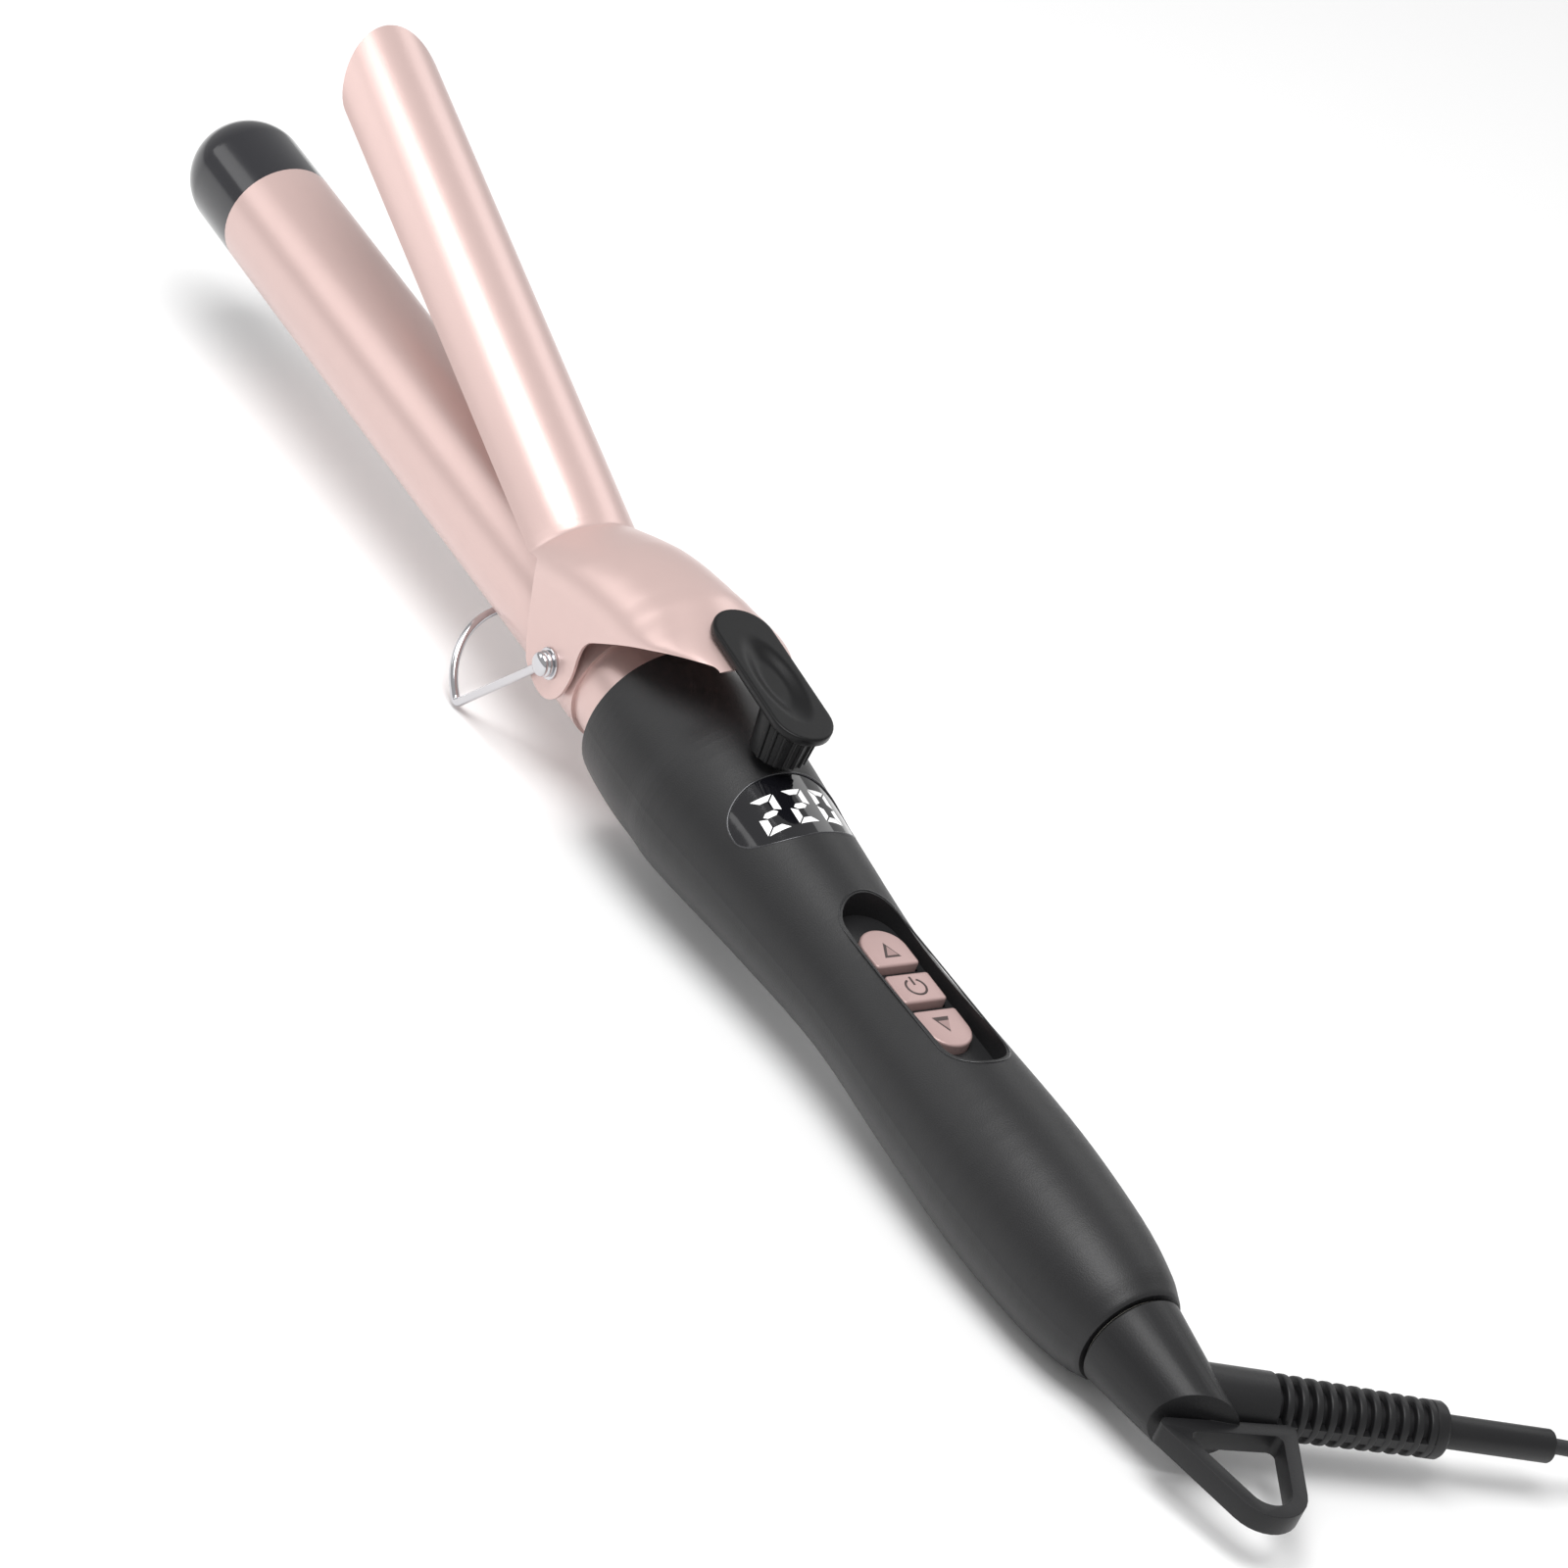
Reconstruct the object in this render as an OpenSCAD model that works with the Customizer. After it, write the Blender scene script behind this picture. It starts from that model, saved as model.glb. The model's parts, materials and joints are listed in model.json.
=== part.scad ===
// Curling iron with a sprung clamp, a wire stand, a digital display and a swivel cord.
// Row frame: +Z up, the iron's axis runs along X from the cool tip (-X) to the swivel (+X).
// Most modules are drawn in the iron's own frame, whose origin is the clamp's pivot.

/* [Barrel] */
// Diameter of the heated tube
barrel_d = 25; // [22:0.5:30]
// Wall of the heated tube
barrel_wall = 0.8; // [0.5:0.1:1.5]
// Pivot axis to the front edge of the heated tube
barrel_len = 149.4; // [120:0.1:190]
// Length of the heated tube behind the pivot, inside the handle
barrel_tail = 42; // [34:1:44]
// Straight part of the cool tip, before its dome
tip_straight = 15.1; // [8:0.1:25]
// Length of the cool tip's plug inside the tube
tip_plug = 12; // [6:1:20]
// Air between the tube's wall and what is plugged into it
plug_gap = 0.05; // [0.02:0.01:0.2]

/* [Clamp] */
// Opening angle of the clamp, as stored
open_angle = 18.1; // [12:0.1:20]
// Thickness of the clamp's sheet
sheet_t = 0.6; // [0.4:0.1:1]
// Air between the closed clamp and the tube
clamp_gap = 0.3; // [0.2:0.05:0.6]
// Half of the arc that the clamp's blade covers
blade_half_arc = 69; // [55:1:80]
// Pivot axis to the end of the blade
blade_len = 143.6; // [110:0.1:148]
// Length of the blade's rounded end
blade_end = 15; // [8:1:20]
// Air between the pivot band and each ear
ear_gap = 0.7; // [0.4:0.1:2]
// Radius of an ear
ear_r = 6.6; // [5:0.1:8]
// Thickness of the band around the tube at the pivot
band_t = 0.7; // [0.5:0.1:1]
// Air around the pivot screws
pivot_gap = 0.08; // [0.04:0.01:0.15]
// Radius of the pivot screws
pivot_r = 1.6; // [1.2:0.1:2.5]

/* [Thumb lever] */
// Length of the thumb pad
pad_len = 34.5; // [30:0.5:44]
// Width of the thumb pad
pad_w = 12.4; // [10:0.2:16]
// Thickness of the thumb pad
pad_t = 1.8; // [1.4:0.1:3]
// Depth of the dish in the thumb pad
dish_depth = 0.9; // [0.4:0.1:1.2]
// Radius of the grip post's foot
post_r = 5.2; // [3:0.1:6]
// Air under the grip post when the lever is pressed home
post_gap = 1.8; // [0.8:0.1:2.5]

/* [Wire stand] */
// Thickness of the stand's wire
wire_d = 1.8; // [1.4:0.01:2.4]
// How far each leg leans towards the tip from square to the iron
leg_lean = 38.6; // [30:0.1:45]
// Depth of the foot, from its bends to the far side of its arc
foot_len = 18; // [16:0.5:22]
// Air between the foot's arc and the tube
foot_gap = 0.15; // [0.1:0.05:0.5]

/* [Handle] */
// Nose-up angle of the iron on its stand
pitch = 4; // [2:0.1:6]
// Pivot axis to the handle's front edge
handle_front = 18.2; // [16:0.1:22]
// Length of the handle
handle_len = 162.8; // [155:0.1:196]
// How much wider the handle's front is than the tube
front_over = 9.5; // [8.5:0.1:13]
// Smallest diameter, at the buttons
waist_d = 25.9; // [25:0.1:29]
// Largest diameter at the rear
rear_d = 29.2; // [28:0.1:33]
// Wall of the handle shells
shell_wall = 2; // [1.6:0.1:2.4]

/* [Display] */
// Pivot axis to the middle of the display window
window_x = 61.6; // [58:0.1:64]
// Length of the window along the handle
window_len = 15; // [12:0.1:17]
// Width of the window across the handle
window_w = 25.6; // [18:0.1:27]
// How far the window sits below the handle's surface
window_sink = 0.15; // [0.05:0.05:0.5]
// Thickness of the window
window_t = 1.3; // [0.8:0.1:1.6]

/* [Buttons] */
// Pivot axis to the front end of the button recess
recess_x = 84; // [82:0.1:88]
// Length of the button recess
recess_len = 44.5; // [42:0.1:48]
// Half width of the button recess
recess_r = 6.3; // [5.6:0.1:7]
// Height of the recess floor over the iron's axis
recess_floor = 8.3; // [7.6:0.1:8.8]
// Thickness of the recess floor
floor_t = 1.6; // [1.2:0.1:2]
// Height of the buttons' faces over the iron's axis
button_top = 10.3; // [9.6:0.1:11]
// Width of the buttons
button_w = 9.4; // [8:0.1:10.4]
// Length of the two rounded buttons
button_len = 9.4; // [8.6:0.1:9.8]
// Length of the square button
power_len = 7.2; // [6.4:0.1:7.6]
// Space between the buttons
button_space = 2.2; // [1.8:0.1:2.8]
// Travel of the buttons
button_travel = 0.5; // [0.3:0.1:0.6]
// Air around the buttons
button_gap = 0.15; // [0.1:0.05:0.3]

/* [Swivel] */
// Radius of the swivel body at the handle
swivel_r = 9.45; // [8.8:0.05:10]
// Radius of the swivel body at its far end
swivel_tip_r = 5.9; // [5.4:0.1:6.6]
// Length of the swivel body
swivel_len = 24; // [22:0.5:28]
// Air between the handle and the swivel body
swivel_gap = 0.4; // [0.2:0.1:0.8]
// Radius of the swivel's neck
neck_r = 6; // [5:0.1:6.2]
// Running air around the neck
neck_gap = 0.05; // [0.03:0.01:0.1]
// Angle between the cord's exit and the iron's axis
exit_angle = 67.7; // [60:0.1:80]
// Thickness of the hanging loop
loop_t = 4; // [3:0.5:5]
// Width of the hanging loop's bars
loop_bar = 2.7; // [2.5:0.1:4]

/* [Cord] */
// Diameter of the cord
cord_d = 2.8; // [2.4:0.1:3]
// Length of the strain relief's ribbed part
relief_len = 31.9; // [26:0.1:36]
// Slots along the ribbed part
relief_slots = 11; // [8:1:13]
// Length of the smooth sleeve behind the ribs
sleeve_len = 20.8; // [16:0.1:24]
// Radius of the smooth sleeve
sleeve_r = 2.9; // [2.2:0.1:3]
// Middle of the coil's turns, across
coil_d = 33.6; // [30:0.1:40]
// Turns side by side, and on each other, in the coil
coil_rows = 4; // [3:1:5]

/* [Hidden] */

fn_round = 96;
hair = 0.01;
barrel_r = barrel_d / 2;
barrel_in = barrel_r - barrel_wall;
wire_r = wire_d / 2;
handle_rear = handle_front + handle_len;
front_d = barrel_d + front_over;

// Handle outline as [distance behind the pivot, radius], through a few control points.
lip_r = front_d / 2 - 1;
rim_r = 9.8;
outline_knots = [
    [handle_front - 3, lip_r - 1.6],
    [handle_front, lip_r],
    [handle_front + 0.06 * handle_len, front_d / 2 - 0.05],
    [handle_front + 0.115 * handle_len, front_d / 2],
    [handle_front + 0.17 * handle_len, front_d / 2 - 0.05],
    [handle_front + 0.33 * handle_len, (front_d + waist_d) / 4 - 0.4],
    [handle_front + 0.485 * handle_len, waist_d / 2],
    [handle_front + 0.64 * handle_len, waist_d / 2 + 1],
    [handle_front + 0.778 * handle_len, rear_d / 2],
    [handle_front + 0.9 * handle_len, rear_d / 2 - 0.9],
    [handle_front + 0.963 * handle_len, rear_d / 2 - 2.5],
    [handle_front + 0.99 * handle_len, rim_r + 0.9],
    [handle_rear, rim_r],
    [handle_rear + 1, rim_r - 2]];
knot_steps = 5;
function curve_point(p0, p1, p2, p3, t) = 0.5 * (2 * p1 + (p2 - p0) * t
    + (2 * p0 - 5 * p1 + 4 * p2 - p3) * t * t + (3 * p1 - p0 - 3 * p2 + p3) * t * t * t);
function curve_through(k, steps) = [for (i = [1 : len(k) - 3], j = [0 : steps - 1])
    curve_point(k[i - 1], k[i], k[i + 1], k[i + 2], j / steps)];
outline = concat(curve_through(outline_knots, knot_steps), [[handle_rear, rim_r]]);
function outline_r(x, i = 0) = i >= len(outline) - 2 || x < outline[i + 1][0]
    ? outline[i][1] + (outline[i + 1][1] - outline[i][1]) * (x - outline[i][0])
        / (outline[i + 1][0] - outline[i][0])
    : outline_r(x, i + 1);

// The iron rests on the handle's rear swell and on the stand's two bends.
pivot_h = max([for (p = outline) p[1] * cos(pitch) + p[0] * sin(pitch)]);
leg_len = (pivot_h - wire_r) / cos(leg_lean + pitch);

// Clamp
blade_in = barrel_r + clamp_gap;
blade_out = blade_in + sheet_t;
ear_in = barrel_r + band_t + ear_gap;
ear_out = ear_in + sheet_t;
pad_tilt = 12.9;
pad_front = 14.4;
pad_seat = 35.53;
function seat_z(x) = pad_seat + (x - pad_front) * tan(pad_tilt);
// The clamp's sheet is a row of arched cross-sections, each [x, top, half width, arch height,
// lower edge] with the clamp closed. The blade's follow the tube and round off at its end.
blade_half_w = blade_out * sin(blade_half_arc);
blade_rows = [for (a = [6, 15, 25, 36, 48, 62, 76, 90]) let (
    m = asin(blade_half_w * sin(a) / blade_out))
    [-blade_len + blade_end * (1 - cos(a)), blade_out, blade_out, blade_out, blade_out * cos(m) - 0.1]];
saddle_x = [-30, -24, -22, -20.2, -17.9, -15, -12.2, -9.5, -7.6, -6, -4.5, -3, -1.5, 0, 1.5, 3, 4.5,
    5.6, 6, 7.5, 9.4, 12.6, 16, 19.1, 23, 26.7];
ridge = [[-30, blade_out], [-24, blade_out], [-22, blade_out + 0.2], [-20.2, 15.1], [-17.9, 17.1],
    [-15, 19.6], [-12.2, 21.9], [-9.5, 24.1], [-6, 26.5], [-3, 28.2], [0, 29.8], [4.5, 32.1],
    [9.4, 34.2], [12.6, seat_z(12.6) - 0.15], [26.7, seat_z(26.7) - 0.15]];
saddle_w = [[-24, blade_out], [-20.2, blade_out + 0.15], [-17.9, ear_out - 0.7], [-15, ear_out - 0.3],
    [-12.2, ear_out - 0.1], [-9.5, ear_out], [6, ear_out], [9.4, ear_out + 0.3],
    [12.6, ear_out + 0.3], [16, ear_out - 0.1], [19.1, ear_out - 1.3], [23, ear_out - 3.3],
    [26.7, ear_out - 5.3]];
arch_h = [[-24, blade_out], [-17.9, 13.7], [-9.5, 14.3], [-3, 14.5], [7, 14.5], [9.4, 13.6],
    [12.6, 11.2], [16, 8.4], [19.1, 5.7], [23, 3.1], [26.7, 1.5]];
low_edge = [[-24, blade_out * cos(blade_half_arc) - 0.1], [-22, 4.7], [-20.2, 5.8], [-17.9, 6.2],
    [-15, 4.4], [-12.2, 1.4], [-9.5, -1.4], [-7.6, -3.1], [-6, -4.3], [-4.5, -5.2], [-3, -5.9],
    [-1.5, -6.4], [0, -ear_r], [1.5, -6.4], [3, -5.9], [4.5, -4.8], [5.6, -3.5], [6, 15.3],
    [9.4, 20], [12.6, 23.8], [16, 27.4], [19.1, 30.8], [23, 34.3], [26.7, seat_z(26.7) - 1.75]];
clamp_rows = concat(blade_rows, [for (x = saddle_x)
    [x, lookup(x, ridge), lookup(x, saddle_w), lookup(x, arch_h), lookup(x, low_edge)]]);
arch_steps = 20;
pad_r = pad_w / 2;
tab_t = sheet_t + 0.3;
post_x = 50.6;
rivet_x = 1.2;
rivet_r = 0.8;

// Buttons
button_mid = recess_x + recess_len / 2 - 0.9;
power_x = button_mid - power_len / 2;
up_x = power_x - button_space - button_len;
down_x = power_x + power_len + button_space;
flange_t = 0.8;
flange_drop = 0.2;
flange_w = 0.7;
floor_under = recess_floor - floor_t;
flange_top = floor_under - flange_drop;
plunger_top = flange_top - flange_t - button_travel - 0.15;

// Electronics
board_t = 1.6;
board_half = 8.6;
heater_x = [-barrel_len + 37, -18];
lead_y = 4.4;
lead_r = 0.7;
screw_x = [recess_x - 6, handle_rear - 28];
screw_r = 1.3;
boss_r = 3;
board_x = [screw_x[0] + boss_r + 2, screw_x[1] - boss_r - 3.5];

// Swivel and cord exit
bush_len = 8;
bush_r = neck_r + 2.5;
clip_t = 1.4;
clip_gap = 0.3;
cone_x = handle_rear + swivel_gap;
cone_end = cone_x + swivel_len;
neck_end = handle_rear - bush_len - clip_gap - clip_t - 1.5;
ring_r = 3.6;
ring_x = [neck_end - 8.2, neck_end - 3.4];
post_len = 11;
end_skew = 27;
end_back = 4.3;
exit_x = cone_end - 12.2;
exit_dir = [cos(exit_angle), sin(exit_angle)];
stub_len = 17.3;
stub_r = 5.65;
relief_r = 5.5;
relief_end_r = 4.9;
collar_len = 2.6;
relief_bore = 3.3;
slot_pitch = (relief_len - collar_len) / relief_slots;
slot_share = 0.52;
core_r = 3.6;
exit_len = stub_len + relief_len + sleeve_len;

// Hanging loop: its outer corners and their rounding
loop_corners = [[cone_end - 6.6, -8.65], [cone_end + 29.676, 0.35], [cone_end + 1, 16.5]];
loop_rounds = [1.5, 6.8, 1.2];
function turn(v, i, k) = v[(i + k + len(v)) % len(v)];
function half_angle(p, i) = let (u = unit(turn(p, i, -1) - p[i]), v = unit(turn(p, i, 1) - p[i]))
    acos(u * v) / 2;
function inward(p, i) = unit(unit(turn(p, i, -1) - p[i]) + unit(turn(p, i, 1) - p[i]));
function arc_middle(p, i, r) = p[i] + inward(p, i) * r / sin(half_angle(p, i));
function inset_corners(p, w) = [for (i = [0 : len(p) - 1]) arc_middle(p, i, w)];
// A polygon's outline with each corner rounded to its radius
function rounded(p, radii) = [for (i = [0 : len(p) - 1]) let (
    mid = arc_middle(p, i, radii[i]), away = -inward(p, i), spread = 90 - half_angle(p, i),
    a = atan2(away[1], away[0])) for (q = [-1 : 1 / 6 : 1])
    mid + radii[i] * [cos(a + q * spread), sin(a + q * spread)]];

// The part's origin is the middle of its underside, without the cord.
front_x = -(barrel_len + tip_straight) * cos(pitch) - barrel_r;
rear_x = (arc_middle(loop_corners, 1, loop_rounds[1])[0] + loop_rounds[1]) * cos(pitch)
    + loop_t / 2 * sin(pitch);
origin_x = -(front_x + rear_x) / 2;

// Cord's free route in the row frame: out of the sleeve, down to the table, into the coil,
// and from the coil to the plug.
cord_r = cord_d / 2;
lead_in = [
    [194.9, 62.9, 9.9], [195.6, 64.8, 9.8], [197.2, 68.6, 9.6], [198.8, 72.4, 9.1], [200.4, 76.2, 8.1],
    [202, 80, 6.8], [203.7, 84, 5.3], [205.4, 88, 3.9], [207, 92, 2.8], [208.4, 96, 2.1],
    [209.5, 100, 1.6], [210.3, 104, 1.4], [210.8, 108, 1.4], [210.9, 112, 1.4]];
coil_at = [190, 112];
tail = [
    [209.6, 119, 9.8], [207.7, 125.5, 9.6], [204.9, 131.5, 9], [201.2, 137.2, 8.3], [196.8, 141.9, 7.7],
    [192.4, 145.3, 7.2], [188, 147.6, 7], [182, 148.5, 7]];
cord_sides = 8;
coil_half = coil_rows * cord_r;
coil_top = coil_rows * cord_d;
tie_w = 5;
tie_t = 0.5;
plug_at = [183, 148.5, 7];
plug_h = 14;
plug_w = 13.7;
plug_len = 36;
pin_r = 2;
pin_len = 19;
pin_pitch = 18.6;

module iron() {
    translate([origin_x, 0, pivot_h]) rotate([0, pitch, 0]) children();
}
module open_clamp() {
    iron() rotate([0, open_angle, 0]) children();
}
// Turns a profile of [radius, distance along the axis] round the iron's axis.
module turned() {
    rotate([0, 90, 0]) rotate_extrude($fn = fn_round) children();
}
module tube(x0, x1, r_out, r_in) {
    turned() translate([r_in, x0]) square([r_out - r_in, x1 - x0]);
}
module rod(x0, x1, r) {
    translate([x0, 0, 0]) rotate([0, 90, 0]) cylinder(h = x1 - x0, r = r, $fn = fn_round);
}
// A bar across the iron, from y0 to y1 at the pivot
module cross_bar(y0, y1, r) {
    translate([0, y0, 0]) rotate([-90, 0, 0]) cylinder(h = y1 - y0, r = r, $fn = 64);
}
module stadium(x0, x1, r, z0, z1) {
    translate([x0 + r, 0, z0]) cylinder(h = z1 - z0, r = r, $fn = 64);
    translate([x1 - r, 0, z0]) cylinder(h = z1 - z0, r = r, $fn = 64);
    translate([x0 + r, -r, z0]) cube([x1 - x0 - 2 * r, 2 * r, z1 - z0]);
}
module block(x0, x1, y0, y1, z0, z1) {
    translate([x0, y0, z0]) cube([x1 - x0, y1 - y0, z1 - z0]);
}
module mirrored_y() {
    children();
    mirror([0, 1, 0]) children();
}

// ---- Barrel ----
module barrel_tube() {
    color("#dcc0bd") iron() difference() {
        tube(-barrel_len, barrel_tail, barrel_r, barrel_in);
        cross_bar(-barrel_r - 1, barrel_r + 1, pivot_r + plug_gap);
    }
}
module cool_tip() {
    dome = [for (i = [0 : 30]) barrel_r * [sin(3 * i), -cos(3 * i)]];
    shoulder = -barrel_len;
    color("#151518") iron() turned() polygon(concat(
        [for (p = dome) [p[0], p[1] + shoulder - tip_straight]],
        [[barrel_r, shoulder], [barrel_in - plug_gap, shoulder],
            [barrel_in - plug_gap, shoulder + tip_plug], [barrel_in - 2.5, shoulder + tip_plug],
            [barrel_in - 2.5, shoulder - tip_straight], [0, shoulder - tip_straight]]));
}
module pivot_band() {
    color("#d2b2af") iron() difference() {
        tube(-8, 8, barrel_r + band_t, barrel_r);
        cross_bar(-ear_in, ear_in, pivot_r + plug_gap);
        translate([rivet_x, 0, barrel_r - 1]) cylinder(h = 3, r = rivet_r + plug_gap, $fn = 48);
    }
}
module pivot_screws() {
    head_in = ear_out + wire_d + 0.1;
    head_r = 3.1;
    head_h = 0.85;
    dome_r = (head_r * head_r + head_h * head_h) / (2 * head_h);
    color("#d8d8da") iron() mirrored_y() {
        cross_bar(barrel_in - 0.7, head_in, pivot_r);
        intersection() {
            translate([0, head_in + head_h - dome_r, 0]) sphere(r = dome_r, $fn = 72);
            cross_bar(head_in, head_in + head_h + 1, head_r);
        }
    }
}
module clamp_spring() {
    half_w = 3.5;
    seat = barrel_r + band_t;
    under = [[5, 0], [-7.6, 0], [-9, 0.6], [-9.5, 2], [-8.9, 3.4], [2.6, 12.4], [5, 13.4], [8, 13.6]];
    over = [[8, 13.1], [5.2, 12.9], [2.9, 12], [-8.4, 3], [-8.9, 2], [-8.6, 1], [-7.4, 0.5], [5, 0.5]];
    color("#b9bcc0") iron() difference() {
        translate([0, half_w, seat]) rotate([90, 0, 0]) linear_extrude(2 * half_w)
            polygon(concat(under, over));
        translate([rivet_x, 0, seat - 1]) cylinder(h = 2, r = rivet_r + plug_gap, $fn = 48);
    }
}
module spring_rivet() {
    seat = barrel_r + band_t;
    color("#a8abb0") iron() translate([rivet_x, 0, 0]) {
        translate([0, 0, barrel_r + 0.05]) cylinder(h = band_t + 0.8, r = rivet_r, $fn = 48);
        translate([0, 0, seat + 0.5]) cylinder(h = 0.45, r = 1.5, $fn = 48);
    }
}
module barrel_collar() {
    collar_r = outline_r(handle_front + 3) - shell_wall - 0.1;
    color("#6b5a45") iron() tube(handle_front + shell_wall + 0.1, barrel_tail, collar_r, barrel_r);
}
module heat_spreaders() {
    color("#b6b9bd") iron() mirrored_z() intersection() {
        rod(heater_x[0] - 6, heater_x[1] + 6, barrel_in - plug_gap);
        block(heater_x[0] - 6, heater_x[1] + 6, -barrel_r, barrel_r, 1, barrel_r);
    }
}
module mirrored_z() {
    children();
    mirror([0, 0, 1]) children();
}
module ceramic_heater() {
    color("#e8e6df") iron() block(heater_x[0], heater_x[1], -5.2, 5.2, -0.95, 0.95);
}
module thermistor() {
    color("#c98f3e") iron() {
        translate([0, 7.6, 0]) rod(heater_x[1] + 2.8, heater_x[1] + 4.8, 0.9);
        translate([0, 7.6, 0]) rod(heater_x[1] + 4.8, barrel_tail - 8, 0.45);
    }
}
module heat_plug() {
    color("#ddd3c2") iron() difference() {
        rod(barrel_tail - 6, barrel_tail, barrel_in - plug_gap);
        for (s = [-1, 1]) translate([0, s * lead_y, 0]) rod(barrel_tail - 7, barrel_tail + 1, lead_r + 0.1);
    }
}
module thermal_fuse() {
    color("#c8ccd0") iron() translate([0, -lead_y, 0]) rod(barrel_tail + 4, barrel_tail + 13, 1.7);
}
module heater_leads() {
    color("#b33a30") iron() {
        translate([0, lead_y, 0]) rod(heater_x[1], board_x[0], lead_r);
        translate([0, -lead_y, 0]) rod(heater_x[1], barrel_tail + 4, lead_r);
        translate([0, -lead_y, 0]) rod(barrel_tail + 13, board_x[0], lead_r);
    }
}

// ---- Handle ----
module handle_solid(inset) {
    turned() polygon(concat([[0, handle_front]], [for (p = outline) [p[1] - inset, p[0]]],
        [[0, handle_rear]]));
}
module handle_hollow() {
    x0 = handle_front + shell_wall;
    x1 = handle_rear - bush_len;
    turned() polygon(concat([[0, x0]], [[outline_r(x0) - shell_wall, x0]],
        [for (p = outline) if (p[0] > x0 && p[0] < x1) [p[1] - shell_wall, p[0]]],
        [[outline_r(x1) - shell_wall, x1], [0, x1]]));
}
module shell_body() {
    difference() {
        handle_solid(0);
        handle_hollow();
        rod(handle_front - 1, handle_front + shell_wall + 1, barrel_r + 0.1);
        rod(handle_rear - bush_len - 1, handle_rear + 1, bush_r);
    }
}
module upper_half() {
    block(handle_front - 1, handle_rear + 1, -30, 30, 0, 30);
}
module lower_half() {
    block(handle_front - 1, handle_rear + 1, -30, 30, -30, 0);
}
function window_outline(grow) = [for (a = [0 : 5 : 355]) let (
    c = cos(a), s = sin(a), n = 2 / 2.6)
    [window_x + (window_len / 2 + grow) * sign(c) * pow(abs(c), n),
        (window_w / 2 + grow) * sign(s) * pow(abs(s), n)]];
module window_prism(grow) {
    translate([0, 0, 3]) linear_extrude(30) polygon(window_outline(grow));
}
module button_hole(x0, x1, round_front, round_rear, grow, z0, z1) {
    r = button_w / 2 + grow;
    a = round_front ? x0 - grow + r : x0 - grow;
    b = round_rear ? x1 + grow - r : x1 + grow;
    block(a, b, -r, r, z0, z1);
    if (round_front) translate([a, 0, z0]) cylinder(h = z1 - z0, r = r, $fn = 64);
    if (round_rear) translate([b, 0, z0]) cylinder(h = z1 - z0, r = r, $fn = 64);
}
module up_prism(grow, z0, z1) {
    button_hole(up_x, up_x + button_len, true, false, grow, z0, z1);
}
module power_prism(grow, z0, z1) {
    button_hole(power_x, power_x + power_len, false, false, grow, z0, z1);
}
module down_prism(grow, z0, z1) {
    button_hole(down_x, down_x + button_len, false, true, grow, z0, z1);
}
module handle_upper() {
    color("#2c2c2e") iron() difference() {
        union() {
            intersection() {
                shell_body();
                upper_half();
            }
            intersection() {
                handle_solid(shell_wall / 2);
                stadium(recess_x - 1.4, recess_x + recess_len + 1.4, recess_r + 1.4, floor_under, 20);
            }
            intersection() {
                handle_solid(shell_wall / 2);
                for (x = screw_x) translate([x, 0, 0.8]) cylinder(h = 18, r = boss_r, $fn = 48);
            }
        }
        stadium(recess_x, recess_x + recess_len, recess_r, recess_floor, 30);
        up_prism(button_gap, floor_under - 1, 30);
        power_prism(button_gap, floor_under - 1, 30);
        down_prism(button_gap, floor_under - 1, 30);
        window_prism(0);
        for (x = screw_x) translate([x, 0, 0]) cylinder(h = 8, r = screw_r - 0.1, $fn = 48);
    }
}
module handle_lower() {
    color("#2c2c2e") iron() difference() {
        union() {
            intersection() {
                shell_body();
                lower_half();
            }
            intersection() {
                handle_solid(shell_wall / 2);
                for (x = screw_x) translate([x, 0, -18]) cylinder(h = 18.7, r = boss_r, $fn = 48);
            }
        }
        for (x = screw_x) {
            translate([x, 0, -19]) cylinder(h = 21, r = screw_r + 0.1, $fn = 48);
            translate([x, 0, -19]) cylinder(h = 11, r = 2.5, $fn = 48);
        }
    }
}
module handle_screws() {
    color("#3a3a3c") iron() for (x = screw_x) translate([x, 0, 0]) {
        translate([0, 0, -7.9]) cylinder(h = 15.6, r = screw_r - 0.1, $fn = 48);
        difference() {
            translate([0, 0, -9.6]) cylinder(h = 1.6, r = 2.3, $fn = 48);
            block(-1.5, 1.5, -0.3, 0.3, -10, -8.9);
            block(-0.3, 0.3, -1.5, 1.5, -10, -8.9);
        }
    }
}
module display_window() {
    color("#08080a") iron() difference() {
        intersection() {
            handle_solid(window_sink);
            window_prism(-0.06);
        }
        handle_solid(window_sink + window_t);
    }
}
module display_module() {
    color("#f0f0ee") iron() block(window_x - 6, window_x + 6, -7.6, 7.6, 5.8, 10.8);
}
module display_board() {
    color("#1f5c3a") iron() block(window_x - 8.5, window_x + 8.5, -9.5, 9.5, 4.2, 5.8);
}
module main_board() {
    color("#1f5c3a") iron() block(board_x[0], board_x[1], -board_half, board_half, -board_t, 0);
}
module tact_switches() {
    color("#1b1b1b") iron() for (x = [up_x + button_len * 0.56, power_x + power_len / 2, down_x + button_len * 0.44])
        translate([x, 0, 0]) {
            translate([-3, -3, 0]) cube([6, 6, plunger_top - 1]);
            cylinder(h = plunger_top, r = 1.7, $fn = 48);
        }
}
module board_components() {
    y0 = 4.2;
    color("#3c3f46") iron() {
        block(board_x[1] - 16, board_x[1] - 8, -4, 4, 0, 3.2);
        block(board_x[0] + 4, board_x[0] + 12, y0 - 2.5, y0 + 2.5, -board_t - 1.4, -board_t);
        translate([board_x[1] - 24, 0, -board_t - 6]) cylinder(h = 6, r = 3.2, $fn = 48);
        translate([board_x[1] - 10, 0, -board_t - 4.5]) cylinder(h = 4.5, r = 2.6, $fn = 48);
    }
}
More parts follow.
